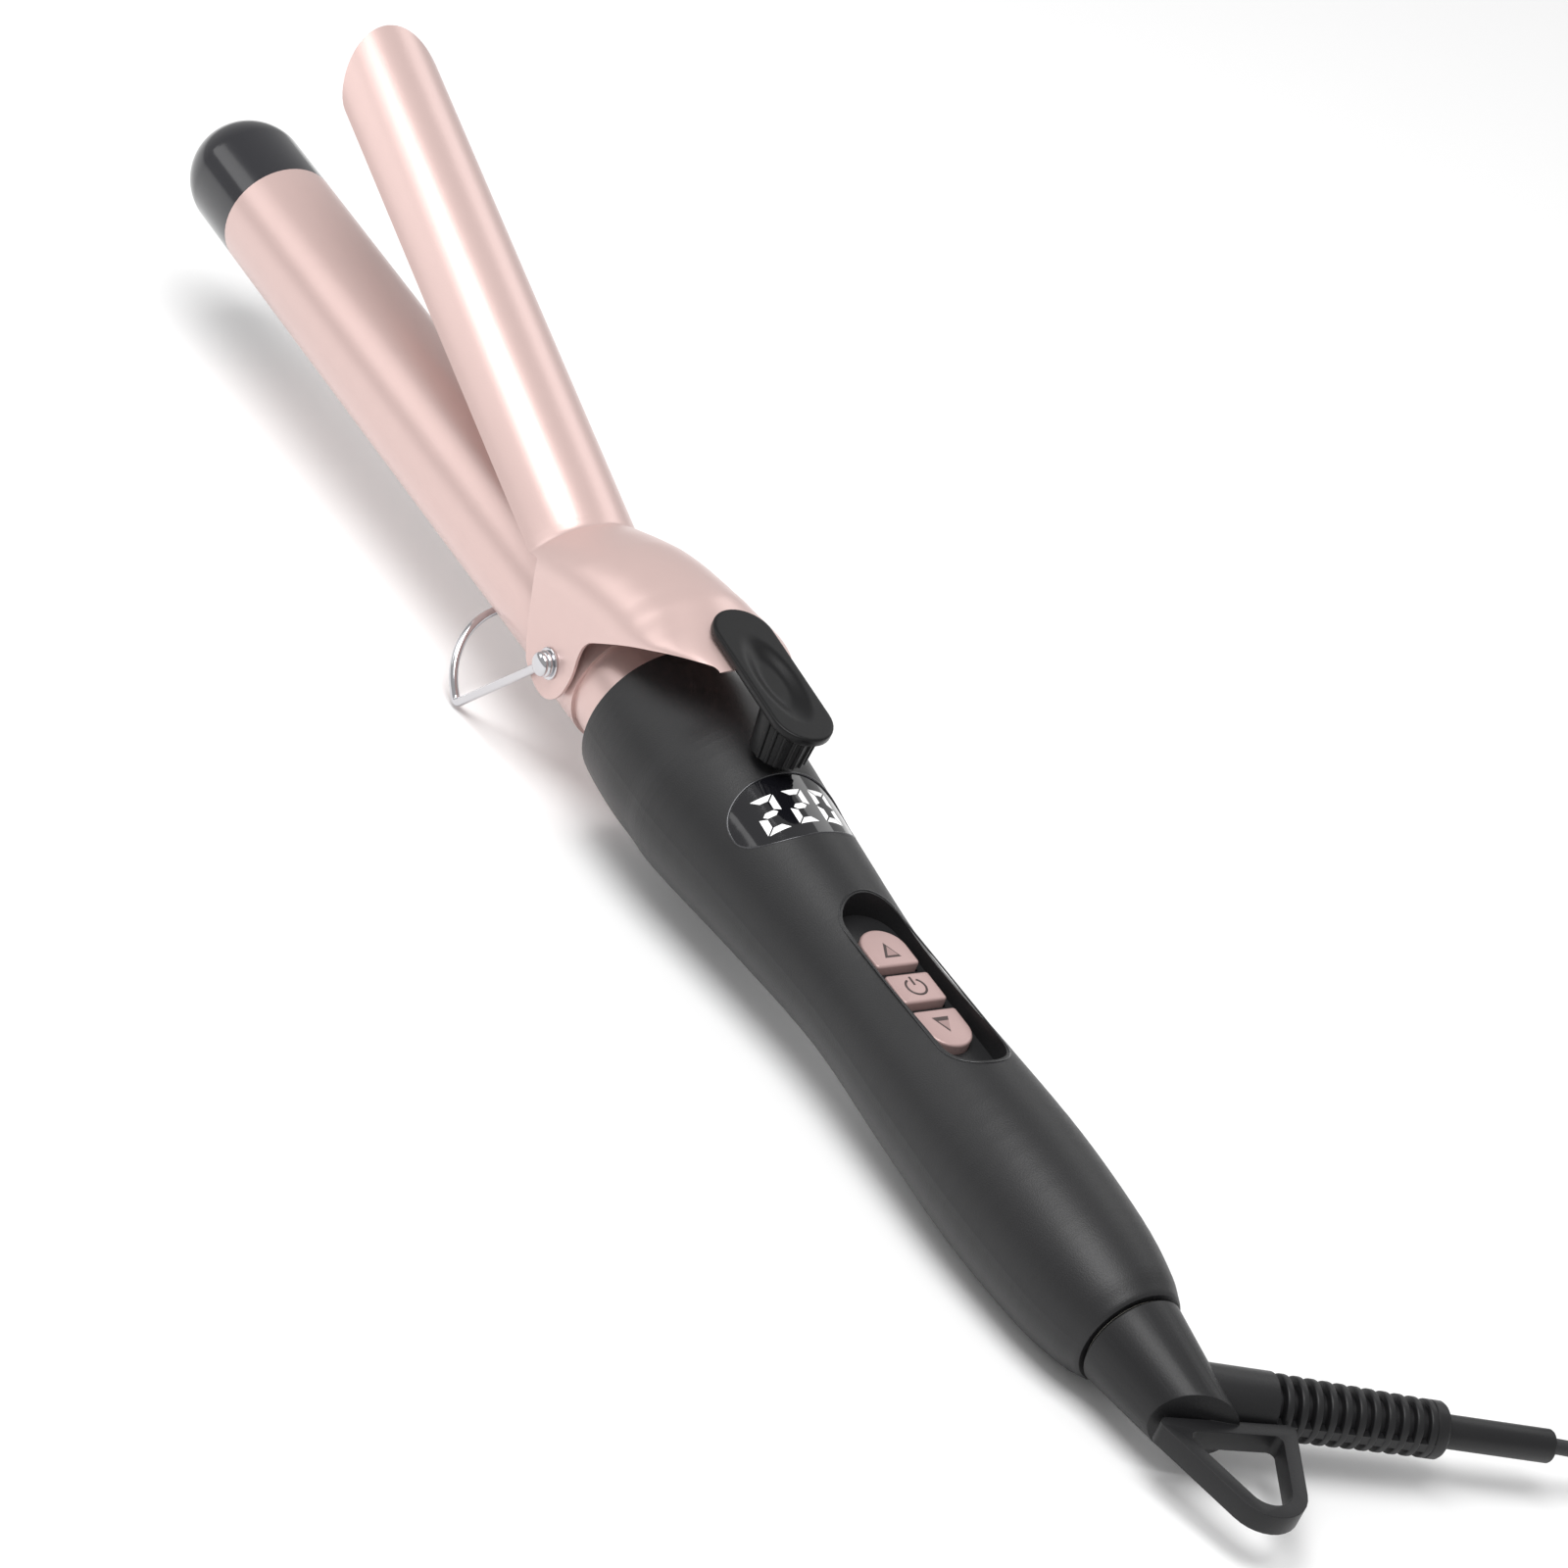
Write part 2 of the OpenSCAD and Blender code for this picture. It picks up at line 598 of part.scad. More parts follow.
module swivel_bush() {
    color("#d9d6cc") iron() tube(handle_rear - bush_len, handle_rear, bush_r, neck_r + neck_gap);
}
module contact_brushes() {
    color("#b8863b") iron() {
        block(neck_end - post_len + 1, neck_end - 1.5, -4.2, 4.2, -ring_r - 2.6, -ring_r - 1.6);
        for (x = ring_x) block(x - 0.8, x + 0.8, -1.2, 1.2, -ring_r - 1.6, -ring_r - 0.25);
    }
}
module mains_leads() {
    x = board_x[1] - 2;
    z = -ring_r - 2.1;
    color("#7a4a2a") iron() for (y = [-3.6, 3.6]) translate([0, y, 0]) {
        translate([0, 0, z]) rod(x, neck_end - post_len + 1, 0.5);
        translate([x, 0, z]) cylinder(h = -z - board_t, r = 0.52, $fn = 32);
    }
}

// ---- Clamp ----
// The arch stops at the lower edge where that lies above its middle; below it the walls are upright.
function saddle_loop(s, t) = let (
    a = s[2], b = s[3], zc = s[1] - b, low = s[4],
    m = low + 0.1 > zc ? acos((low + 0.1 - zc) / b) : 90,
    drop = max(0.1, zc - low))
    concat([[s[0], -a * sin(m), zc + b * cos(m) - drop]],
        [for (i = [0 : arch_steps]) let (q = -m + 2 * m * i / arch_steps)
            [s[0], a * sin(q), zc + b * cos(q)]],
        [[s[0], a * sin(m), zc + b * cos(m) - drop],
            [s[0], (a - t) * sin(m), zc + (b - t) * cos(m) - drop]],
        [for (i = [0 : arch_steps]) let (q = m - 2 * m * i / arch_steps)
            [s[0], (a - t) * sin(q), zc + (b - t) * cos(q)]],
        [[s[0], -(a - t) * sin(m), zc + (b - t) * cos(m) - drop]]);
module clamp_sheet() {
    rings = [for (s = clamp_rows) saddle_loop(s, sheet_t)];
    n = len(rings[0]);
    last = (len(rings) - 1) * n;
    polyhedron(points = [for (r = rings, p = r) p], faces = concat(
        [for (i = [0 : n / 2 - 2]) [n - 1 - i, n - 2 - i, i + 1, i]],
        [for (k = [0 : len(rings) - 2], i = [0 : n - 1]) let (j = (i + 1) % n)
            [k * n + j, (k + 1) * n + j, (k + 1) * n + i, k * n + i]],
        [for (i = [0 : n / 2 - 2]) [last + i, last + i + 1, last + n - 2 - i, last + n - 1 - i]]),
        convexity = 6);
}
module clamp_shell() {
    color("#dcc0bd") open_clamp() difference() {
        union() {
            clamp_sheet();
            mirrored_y() cross_bar(ear_out - 0.3, ear_out + 0.1, 4);
            translate([pad_front, 0, pad_seat]) rotate([0, -pad_tilt, 0])
                block(9, pad_len - pad_r, -pad_r + 1.2, pad_r - 1.2, -tab_t, 0);
        }
        cross_bar(-20, 20, pivot_r + pivot_gap);
        pad_holes();
    }
}
pad_screw_x = [11.5, 16];
module pad_holes() {
    translate([pad_front, 0, pad_seat]) rotate([0, -pad_tilt, 0]) for (x = pad_screw_x)
        translate([x, 0, -4]) cylinder(h = 6, r = 1.15, $fn = 48);
}
module thumb_pad() {
    dish_half = 10.6;
    dish_w = 4;
    spin_r = (dish_w * dish_w / dish_depth + dish_depth) / 2;
    arc_r = (dish_half * dish_half + dish_depth * dish_depth) / (2 * dish_depth);
    reach = 14;
    color("#1e1e20") open_clamp() translate([pad_front, 0, pad_seat]) rotate([0, -pad_tilt, 0]) difference() {
        stadium(0, pad_len, pad_r, 0, pad_t);
        translate([pad_len * 0.54, 0, pad_t - dish_depth + spin_r]) turned() polygon(concat([[0, -reach]],
            [for (i = [-7 : 7]) [spin_r - arc_r + sqrt(arc_r * arc_r - 4 * i * i), 2 * i]], [[0, reach]]));
        for (x = pad_screw_x) translate([x, 0, -1]) cylinder(h = 1.6, r = 1, $fn = 48);
    }
}
module grip_post() {
    foot_z = outline_r(post_x) + post_gap;
    rib_r = 0.5;
    color("#1e1e20") open_clamp() difference() {
        rotate([0, -open_angle, 0]) translate([post_x, 0, foot_z]) {
            cylinder(h = 14, r1 = post_r, r2 = post_r + 1.2, $fn = 72);
            for (a = [-60 : 20 : 60]) rotate([0, 0, a])
                translate([post_r + 0.1, 0, 0]) rotate([0, 4.9, 0]) cylinder(h = 13, r = rib_r, $fn = 24);
        }
        translate([pad_front, 0, pad_seat]) rotate([0, -pad_tilt, 0])
            block(-5, 60, -20, 20, -tab_t, 20);
    }
}
module pad_screws() {
    color("#8f9296") open_clamp() translate([pad_front, 0, pad_seat]) rotate([0, -pad_tilt, 0])
        for (x = pad_screw_x) translate([x, 0, 0]) {
            translate([0, 0, -1.6]) cylinder(h = 2.1, r = 0.95, $fn = 48);
            translate([0, 0, -2.2]) cylinder(h = 1.3, r = 2, $fn = 48);
        }
}

// ---- Wire stand ----
module wire_stand() {
    eye_y = ear_out + 0.2;
    eye_t = wire_d - 0.2;
    leg_y = eye_y + eye_t / 2;
    corner = leg_len * [-sin(leg_lean), -cos(leg_lean)];
    rise = asin((-corner[1] - barrel_r - wire_r - foot_gap) / foot_len);
    thin = 0.04;
    color("#d8d8da") iron() {
        mirrored_y() {
            difference() {
                cross_bar(eye_y, eye_y + eye_t, 3);
                cross_bar(eye_y - 1, eye_y + eye_t + 1, pivot_r + pivot_gap);
            }
            translate([0, leg_y, 0]) rotate([0, 180 + leg_lean, 0]) translate([0, 0, 2.3])
                cylinder(h = leg_len - 2.3, r = wire_r - thin, $fn = 48);
            translate([corner[0], leg_y, corner[1]]) sphere(r = wire_r, $fn = 48);
        }
        translate([corner[0], 0, corner[1]]) rotate([0, rise, 0]) {
            mirrored_y() translate([leg_y - foot_len - 0.3, leg_y, 0]) rotate([0, 90, 0])
                cylinder(h = foot_len - leg_y + 0.3, r = wire_r - thin, $fn = 48);
            translate([leg_y - foot_len, 0, 0]) rotate([0, 0, 90])
                rotate_extrude(angle = 180, $fn = 96) translate([leg_y, 0]) circle(r = wire_r, $fn = 48);
        }
    }
}

// ---- Buttons ----
module triangle_mark(x, dir) {
    translate([x, 0, button_top - 0.35]) linear_extrude(1)
        polygon([[-1.3 * dir, -1.6], [-1.3 * dir, 1.6], [1.5 * dir, 0]]);
}
module button_up() {
    color("#cda9a6") iron() difference() {
        union() {
            up_prism(0, flange_top - hair, button_top);
            up_prism(flange_w, flange_top - flange_t, flange_top);
        }
        triangle_mark(up_x + button_len * 0.6, -1);
    }
}
module button_power() {
    mark_x = power_x + power_len / 2;
    color("#cda9a6") iron() difference() {
        union() {
            power_prism(0, flange_top - hair, button_top);
            power_prism(flange_w, flange_top - flange_t, flange_top);
        }
        translate([mark_x, 0, button_top - 0.3]) difference() {
            cylinder(h = 1, r = 1.9, $fn = 48);
            translate([0, 0, -1]) cylinder(h = 3, r = 1.5, $fn = 48);
            block(-3, 0, -0.8, 0.8, -1, 3);
        }
        block(mark_x - 2.4, mark_x - 0.4, -0.2, 0.2, button_top - 0.3, button_top + 1);
    }
}
module button_down() {
    color("#cda9a6") iron() difference() {
        union() {
            down_prism(0, flange_top - hair, button_top);
            down_prism(flange_w, flange_top - flange_t, flange_top);
        }
        triangle_mark(down_x + button_len * 0.4, 1);
    }
}

// ---- Swivel ----
module along_exit() {
    translate([exit_x, 0, 0]) rotate([0, 0, exit_angle]) rotate([0, 90, 0]) children();
}
module bar_between(p, q, r) {
    d = q - p;
    translate([p[0], p[1], -loop_t / 2]) rotate([0, 0, atan2(d[1], d[0])])
        translate([0, -r, 0]) cube([norm(d), 2 * r, loop_t]);
}
module hanging_loop() {
    translate([0, 0, -loop_t / 2]) linear_extrude(loop_t) difference() {
        polygon(rounded(loop_corners, loop_rounds));
        polygon(rounded(inset_corners(loop_corners, loop_bar), [1.5, 4.1, 1.2]));
    }
}
module swivel_body() {
    color("#29292b") iron() difference() {
        union() {
            intersection() {
                turned() polygon([[0, cone_x], [swivel_r - 0.5, cone_x], [swivel_r, cone_x + 0.5],
                    [swivel_tip_r, cone_end + 2], [0, cone_end + 2]]);
                translate([cone_end - end_back, 0, 0]) rotate([0, 0, -end_skew]) block(-60, 0, -30, 30, -30, 30);
            }
            rod(neck_end, cone_x + 1, neck_r);
            rod(neck_end - post_len, neck_end + 1, ring_r - 0.8);
            along_exit() cylinder(h = stub_len, r = stub_r, $fn = 72);
            hanging_loop();
        }
        along_exit() translate([0, 0, stub_len - 8]) cylinder(h = 9, r = relief_bore, $fn = 64);
        tube(handle_rear - bush_len - clip_gap - clip_t - 0.05, handle_rear - bush_len - clip_gap + 0.05,
            neck_r + 1, neck_r - 1);
    }
}
module retaining_clip() {
    color("#9a9da1") iron() tube(handle_rear - bush_len - clip_gap - clip_t, handle_rear - bush_len - clip_gap,
        neck_r + 1.5, neck_r - 1);
}
module contact_rings() {
    color("#c79a4b") iron() for (x = ring_x)
        tube(x - 1.5, x + 1.5, ring_r, ring_r - 0.8);
}
module strain_relief() {
    function taper(s) = relief_r + (relief_end_r - relief_r) * s / relief_len;
    color("#29292b") iron() along_exit() difference() {
        union() {
            translate([0, 0, stub_len - 8]) cylinder(h = 8 + hair, r = relief_bore - 0.05, $fn = 64);
            translate([0, 0, stub_len]) {
                cylinder(h = relief_len, r = core_r, $fn = 64);
                for (i = [0 : relief_slots - 1]) let (s = (i + slot_share) * slot_pitch)
                    translate([0, 0, s]) cylinder(h = slot_pitch * (1 - slot_share) + hair,
                        r1 = taper(s), r2 = taper(s + slot_pitch * (1 - slot_share)), $fn = 72);
                translate([0, 0, relief_len - collar_len])
                    cylinder(h = collar_len - 0.6, r = relief_end_r, $fn = 72);
                translate([0, 0, relief_len - 0.6])
                    cylinder(h = 0.6, r1 = relief_end_r, r2 = relief_end_r - 0.6, $fn = 72);
                for (s = [-1, 1]) intersection() {
                    cylinder(h = relief_len - 1, r1 = relief_r - 0.1, r2 = relief_end_r - 0.1, $fn = 64);
                    translate([s * 4.4 - 2.4, -0.9, 0]) cube([4.8, 1.8, relief_len]);
                }
                translate([0, 0, relief_len - 1]) cylinder(h = sleeve_len + 0.5, r = sleeve_r, $fn = 64);
                translate([0, 0, relief_len + sleeve_len - 0.5])
                    cylinder(h = 0.5, r1 = sleeve_r, r2 = sleeve_r - 0.4, $fn = 64);
            }
        }
        translate([0, 0, exit_len - 6]) cylinder(h = 7, r = cord_r + 0.3, $fn = 48);
    }
}

// ---- Cord and plug ----
function unit(v) = v / norm(v);
function route_dir(p, i) = unit(p[min(i + 1, len(p) - 1)] - p[max(i - 1, 0)]);
module swept(points, r) {
    n = len(points);
    rings = [for (i = [0 : n - 1]) let (
        d = route_dir(points, i), side = unit(cross(d, [0, 0, 1])), up = cross(side, d))
        [for (j = [0 : cord_sides - 1]) let (a = 360 * (j + 0.5) / cord_sides)
            points[i] + r * (cos(a) * side + sin(a) * up)]];
    polyhedron(points = [for (g = rings, p = g) p], faces = concat(
        [[for (j = [cord_sides - 1 : -1 : 0]) j]],
        [for (i = [0 : n - 2], j = [0 : cord_sides - 1]) let (k = (j + 1) % cord_sides)
            [i * cord_sides + k, (i + 1) * cord_sides + k, (i + 1) * cord_sides + j, i * cord_sides + j]],
        [[for (j = [0 : cord_sides - 1]) (n - 1) * cord_sides + j]]));
}
module cord() {
    color("#232325") {
        swept(lead_in, cord_r);
        swept(tail, cord_r);
    }
}
// A box round the coil's bundle of turns, on the side nearest the iron
module bundle_box(w, inset) {
    translate([coil_at[0] - w / 2, coil_at[1] - coil_d / 2 - coil_half + inset, inset])
        cube([w, 2 * (coil_half - inset), coil_top - 2 * inset]);
}
module cord_coil() {
    color("#232325") difference() {
        translate([coil_at[0], coil_at[1], 0]) rotate_extrude($fn = fn_round)
            translate([coil_d / 2 - coil_half, 0]) square([2 * coil_half, coil_top]);
        difference() {
            bundle_box(tie_w, -2);
            bundle_box(tie_w + 1, tie_t);
        }
    }
}
module cord_tie() {
    color("#1a1a1c") difference() {
        bundle_box(tie_w, 0);
        bundle_box(tie_w + 1, tie_t);
    }
}
module plug_body() {
    nose = 9;
    back = plug_at[0];
    color("#232325") translate([back, plug_at[1], plug_at[2]]) {
        difference() {
            rotate([0, -90, 0]) cylinder(h = nose, r1 = 3.4, r2 = plug_h / 2 - 0.6, $fn = 64);
            rotate([0, -90, 0]) translate([0, 0, -1]) cylinder(h = 3, r = cord_r, $fn = 48);
        }
        translate([-plug_len, 0, 0]) {
            for (s = [-1, 1]) translate([0, s * 8.5, -plug_h / 2])
                translate([0, 0, 0]) rotate([0, 90, 0]) translate([-plug_h / 2, 0, 0])
                    cylinder(h = plug_len - nose, r = plug_h / 2, $fn = 64);
            translate([0, -8.5, -plug_h / 2]) cube([plug_len - nose, 17, plug_h]);
        }
    }
}
module plug_pins() {
    color("#c9ccd0") for (s = [-1, 1])
        translate([plug_at[0] - plug_len - pin_len, plug_at[1] + s * pin_pitch / 2, plug_at[2]])
            rotate([0, 90, 0]) cylinder(h = pin_len, r = pin_r, $fn = 48);
}

barrel_tube();
cool_tip();
pivot_band();
pivot_screws();
clamp_spring();
spring_rivet();
barrel_collar();
heat_spreaders();
ceramic_heater();
thermistor();
heat_plug();
thermal_fuse();
heater_leads();
handle_upper();
handle_lower();
handle_screws();
display_window();
display_module();
display_board();
main_board();
tact_switches();
board_components();
swivel_bush();
contact_brushes();
mains_leads();
clamp_shell();
thumb_pad();
grip_post();
pad_screws();
wire_stand();
button_up();
button_power();
button_down();
swivel_body();
retaining_clip();
contact_rings();
strain_relief();
cord();
cord_coil();
cord_tie();
plug_body();
plug_pins();
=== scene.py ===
import json
import math
import bpy
import bmesh
from mathutils import Vector, Matrix


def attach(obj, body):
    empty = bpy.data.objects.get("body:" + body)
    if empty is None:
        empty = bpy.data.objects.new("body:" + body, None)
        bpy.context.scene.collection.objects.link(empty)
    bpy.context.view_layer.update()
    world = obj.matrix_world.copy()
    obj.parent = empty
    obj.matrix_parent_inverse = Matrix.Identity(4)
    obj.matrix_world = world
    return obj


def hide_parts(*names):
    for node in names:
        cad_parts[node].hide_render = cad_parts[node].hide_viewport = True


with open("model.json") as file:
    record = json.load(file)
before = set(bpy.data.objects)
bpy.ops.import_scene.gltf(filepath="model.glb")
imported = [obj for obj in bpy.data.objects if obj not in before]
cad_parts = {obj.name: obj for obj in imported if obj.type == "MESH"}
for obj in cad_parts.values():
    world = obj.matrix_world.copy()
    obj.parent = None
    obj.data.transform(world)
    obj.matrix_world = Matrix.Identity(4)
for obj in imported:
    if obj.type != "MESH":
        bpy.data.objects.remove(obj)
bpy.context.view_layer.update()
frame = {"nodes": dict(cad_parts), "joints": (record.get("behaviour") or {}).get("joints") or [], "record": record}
nodes = frame["nodes"]
mm = 0.001

# the iron's own axes: x from the tip to the swivel, z towards the clamp, origin at the clamp's pivot
jointOf = {j["name"]: j for j in frame["joints"]}
pivot = Vector(jointOf["clamp_hinge"]["pos_m"])
ironX = Vector(jointOf["swivel_spin"]["axis"]).normalized()
ironY = Vector((0, 1, 0))
ironZ = ironX.cross(ironY)
ironTurn = Matrix((ironX, ironY, ironZ)).transposed().to_4x4()
ironFrame = Matrix.Translation(pivot) @ ironTurn @ Matrix.Scale(mm, 4)
openAngle = -math.radians(jointOf["clamp_hinge"]["range_deg"][0])
clampFrame = ironFrame @ Matrix.Rotation(openAngle, 4, "Y")


# helpers

def blend(a, b, t):
    return a + (b - a) * t


def smooth(t):
    t = min(1, max(0, t))
    return t * t * (3 - 2 * t)


def curveThrough(knots, x):
    # smooth curve through [x, value, ...] knots, level where the knots turn
    k = knots
    if x <= k[0][0]:
        return [*k[0][1:]]
    if x >= k[-1][0]:
        return [*k[-1][1:]]
    i = max(j for j in range(len(k)) if k[j][0] <= x)
    h = k[i + 1][0] - k[i][0]
    t = (x - k[i][0]) / h
    out = []
    for c in range(1, len(k[0])):
        def slopeAt(j):
            if j in (0, len(k) - 1):
                m = min(max(j, 1), len(k) - 1)
                return (k[m][c] - k[m - 1][c]) / (k[m][0] - k[m - 1][0])
            a = (k[j][c] - k[j - 1][c]) / (k[j][0] - k[j - 1][0])
            b = (k[j + 1][c] - k[j][c]) / (k[j + 1][0] - k[j][0])
            return 0 if a * b <= 0 else 2 * a * b / (a + b)
        p, q, m0, m1 = k[i][c], k[i + 1][c], slopeAt(i) * h, slopeAt(i + 1) * h
        out.append((2 * t**3 - 3 * t**2 + 1) * p + (t**3 - 2 * t**2 + t) * m0
                   + (3 * t**2 - 2 * t**3) * q + (t**3 - t**2) * m1)
    return out


def addMesh(name, points, faces, smoothFaces=True):
    mesh = bpy.data.meshes.new(name)
    mesh.from_pydata([tuple(p) for p in points], [], faces)
    mesh.validate()
    obj = bpy.data.objects.new(name, mesh)
    bpy.context.scene.collection.objects.link(obj)
    if smoothFaces:
        mesh.shade_smooth()
    return obj


def tidy(obj, gap=1e-6):
    # merge doubles and point the faces outwards
    bm = bmesh.new()
    bm.from_mesh(obj.data)
    bmesh.ops.remove_doubles(bm, verts=bm.verts, dist=gap)
    bmesh.ops.recalc_face_normals(bm, faces=bm.faces)
    bm.to_mesh(obj.data)
    bm.free()
    return obj


def bakeModifiers(obj):
    # the evaluated shape becomes the piece's plain mesh
    bpy.context.view_layer.update()
    mesh = bpy.data.meshes.new_from_object(obj.evaluated_get(bpy.context.evaluated_depsgraph_get()))
    obj.modifiers.clear()
    old = obj.data
    obj.data = mesh
    bpy.data.meshes.remove(old)
    return obj


def newTree(name, *inputs):
    # a shape goes in and a shape comes out, with named values between
    tree = bpy.data.node_groups.new(name, "GeometryNodeTree")
    tree.interface.new_socket("Shape", in_out="INPUT", socket_type="NodeSocketGeometry")
    for label, kind in inputs:
        tree.interface.new_socket(label, in_out="INPUT", socket_type="NodeSocket" + kind)
    tree.interface.new_socket("Shape", in_out="OUTPUT", socket_type="NodeSocketGeometry")
    return tree, tree.nodes.new("NodeGroupInput").outputs


def step(tree, kind, feeds=(), **settings):
    # one node; each feed is a socket's name with a value or with the output that goes into it
    node = tree.nodes.new(kind)
    for key, value in settings.items():
        setattr(node, key, value)
    for label, value in dict(feeds).items():
        socket = next(s for s in node.inputs if s.name == label and s.enabled)
        if isinstance(value, bpy.types.NodeSocket):
            tree.links.new(value, socket)
        else:
            socket.default_value = value
    return node.outputs[0]


def closeTree(tree, given, *shapes):
    # join the shapes, make them real and give the material
    together = tree.nodes.new("GeometryNodeJoinGeometry")
    for shape in shapes:
        tree.links.new(shape, together.inputs[0])
    plain = step(tree, "GeometryNodeRealizeInstances", {"Geometry": together.outputs[0]})
    done = step(tree, "GeometryNodeSetMaterial", {"Geometry": plain, "Material": given["Material"]})
    tree.links.new(done, tree.nodes.new("NodeGroupOutput").inputs[0])
    return tree


def runTree(obj, tree, **values):
    modifier = obj.modifiers.new("shape", "NODES")
    modifier.node_group = tree
    for item in tree.interface.items_tree:
        if item.in_out == "INPUT" and item.name in values:
            modifier[item.identifier] = values[item.name]
    return bakeModifiers(obj)


def polyline(name, points, closed=False):
    mesh = bpy.data.meshes.new(name)
    n = len(points)
    edgeCount = n if closed else n - 1
    mesh.from_pydata([tuple(p) for p in points], [(i, (i + 1) % n) for i in range(edgeCount)], [])
    obj = bpy.data.objects.new(name, mesh)
    bpy.context.scene.collection.objects.link(obj)
    return obj


def place(obj, matrix):
    obj.data.transform(matrix)
    obj.data.update()
    return obj


def wear(obj, material):
    obj.data.materials.clear()
    obj.data.materials.append(material)
    return obj


def keep(obj, body, material, slot, *cadNodes):
    wear(obj, material)
    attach(obj, body)
    if cadNodes:
        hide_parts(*cadNodes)
    return obj


# camera

cameraSet = dict(fromPivot=(559.9, -461.3, 407.2), turn=(58.36, -16.94, 57.68), lens=101.25)


def addCamera():
    data = bpy.data.cameras.new("camera")
    data.lens = cameraSet["lens"]
    data.sensor_width = 36
    data.clip_end = 20
    obj = bpy.data.objects.new("camera", data)
    bpy.context.scene.collection.objects.link(obj)
    obj.location = pivot + Vector(cameraSet["fromPivot"]) * mm
    obj.rotation_euler = [math.radians(a) for a in cameraSet["turn"]]
    bpy.context.scene.camera = obj


addCamera()
print("camera set")


# finishes, with grain from each object's own coordinates
grainDetail = 3.0
blotchScale, blotchDetail = 12, 2.0


def newMaterial(name, base, roughness, metallic=0.0, coat=0.0, coatRough=0.1, shine=0.5):
    material = bpy.data.materials.new(name)
    material.use_nodes = True
    shader = material.node_tree.nodes["Principled BSDF"]
    shader.inputs["Base Color"].default_value = (*base, 1)
    shader.inputs["Roughness"].default_value = roughness
    shader.inputs["Metallic"].default_value = metallic
    shader.inputs["Coat Weight"].default_value = coat
    shader.inputs["Coat Roughness"].default_value = coatRough
    shader.inputs["Specular IOR Level"].default_value = shine
    return material


def addNode(material, kind, **values):
    node = material.node_tree.nodes.new(kind)
    for key, value in values.items():
        if hasattr(node, key):
            setattr(node, key, value)
        else:
            node.inputs[key.replace("_", " ")].default_value = value
    return node


def grain(material, scale, strength, distance, roughSpread=0.0, colourSpread=0.0, stretch=(1, 1, 1)):
    # fine surface grain from the object's own coordinates: bump, a little change in roughness and colour
    tree = material.node_tree
    shader = tree.nodes["Principled BSDF"]
    coords = addNode(material, "ShaderNodeTexCoord")
    mapping = addNode(material, "ShaderNodeMapping")
    mapping.inputs["Scale"].default_value = stretch
    noise = addNode(material, "ShaderNodeTexNoise", Scale=scale, Detail=grainDetail)
    tree.links.new(coords.outputs["Object"], mapping.inputs["Vector"])
    tree.links.new(mapping.outputs["Vector"], noise.inputs["Vector"])
    bump = addNode(material, "ShaderNodeBump", Strength=strength, Distance=distance)
    tree.links.new(noise.outputs["Fac"], bump.inputs["Height"])
    tree.links.new(bump.outputs["Normal"], shader.inputs["Normal"])
    if roughSpread:
        rough = shader.inputs["Roughness"].default_value
        ramp = addNode(material, "ShaderNodeMapRange")
        ramp.inputs["To Min"].default_value = rough - roughSpread
        ramp.inputs["To Max"].default_value = rough + roughSpread
        tree.links.new(noise.outputs["Fac"], ramp.inputs["Value"])
        tree.links.new(ramp.outputs["Result"], shader.inputs["Roughness"])
    if colourSpread:
        base = shader.inputs["Base Color"].default_value[:3]
        mix = addNode(material, "ShaderNodeMix", data_type="RGBA")
        mix.inputs["A"].default_value = (*[c * (1 - colourSpread) for c in base], 1)
        mix.inputs["B"].default_value = (*[min(1, c * (1 + colourSpread)) for c in base], 1)
        wide = addNode(material, "ShaderNodeTexNoise", Scale=scale / blotchScale, Detail=blotchDetail)
        tree.links.new(mapping.outputs["Vector"], wide.inputs["Vector"])
        tree.links.new(wide.outputs["Fac"], mix.inputs["Factor"])
        tree.links.new(mix.outputs["Result"], shader.inputs["Base Color"])
    return material


def finish(name, base, roughness, grainValues, stretch=(1, 1, 1), **looks):
    # a material with its grain: scale, strength, distance, spread of roughness, spread of colour
    return grain(newMaterial(name, base, roughness, **looks), *grainValues, stretch=stretch)


roseMetal = finish("roseMetal", (0.68, 0.50, 0.47), 0.33, (2600, 0.12, 0.0001, 0.03, 0.015),
                   metallic=0.45, coat=0.2, coatRough=0.25)
buttonRose = finish("buttonRose", (0.48, 0.335, 0.32), 0.4, (3000, 0.12, 0.0001, 0.03, 0.02),
                    metallic=0.3)
# painted shade: the floor of a sunk mark, darker than the button
markFloorShade = finish("markFloorShade", (0.33, 0.22, 0.21), 0.5, (3000, 0.1, 0.0001, 0.03))
tipBlack = finish("tipBlack", (0.012, 0.012, 0.016), 0.16, (1500, 0.04, 0.0001, 0.03),
                  coat=0.4, coatRough=0.08)
handleBlack = finish("handleBlack", (0.013, 0.013, 0.014), 0.44, (3500, 0.25, 0.00015, 0.05, 0.05),
                     coatRough=0.2, shine=0.42)
windowBlack = finish("windowBlack", (0.006, 0.006, 0.008), 0.08, (900, 0.02, 0.0001, 0.01),
                     coat=0.5, coatRough=0.05)
digitWhite = finish("digitWhite", (0.9, 0.9, 0.9), 0.5, (2000, 0.05, 0.0001, 0.03))
digitGlow = digitWhite.node_tree.nodes["Principled BSDF"].inputs
digitGlow["Emission Color"].default_value = (1, 1, 1, 1)
digitGlow["Emission Strength"].default_value = 0.25
padBlack = finish("padBlack", (0.006, 0.006, 0.0065), 0.34, (2400, 0.1, 0.0001, 0.04, 0.03),
                  coatRough=0.2, shine=0.22)
swivelBlack = finish("swivelBlack", (0.012, 0.012, 0.013), 0.42, (3000, 0.2, 0.00012, 0.05, 0.05),
                     coatRough=0.2, shine=0.32)
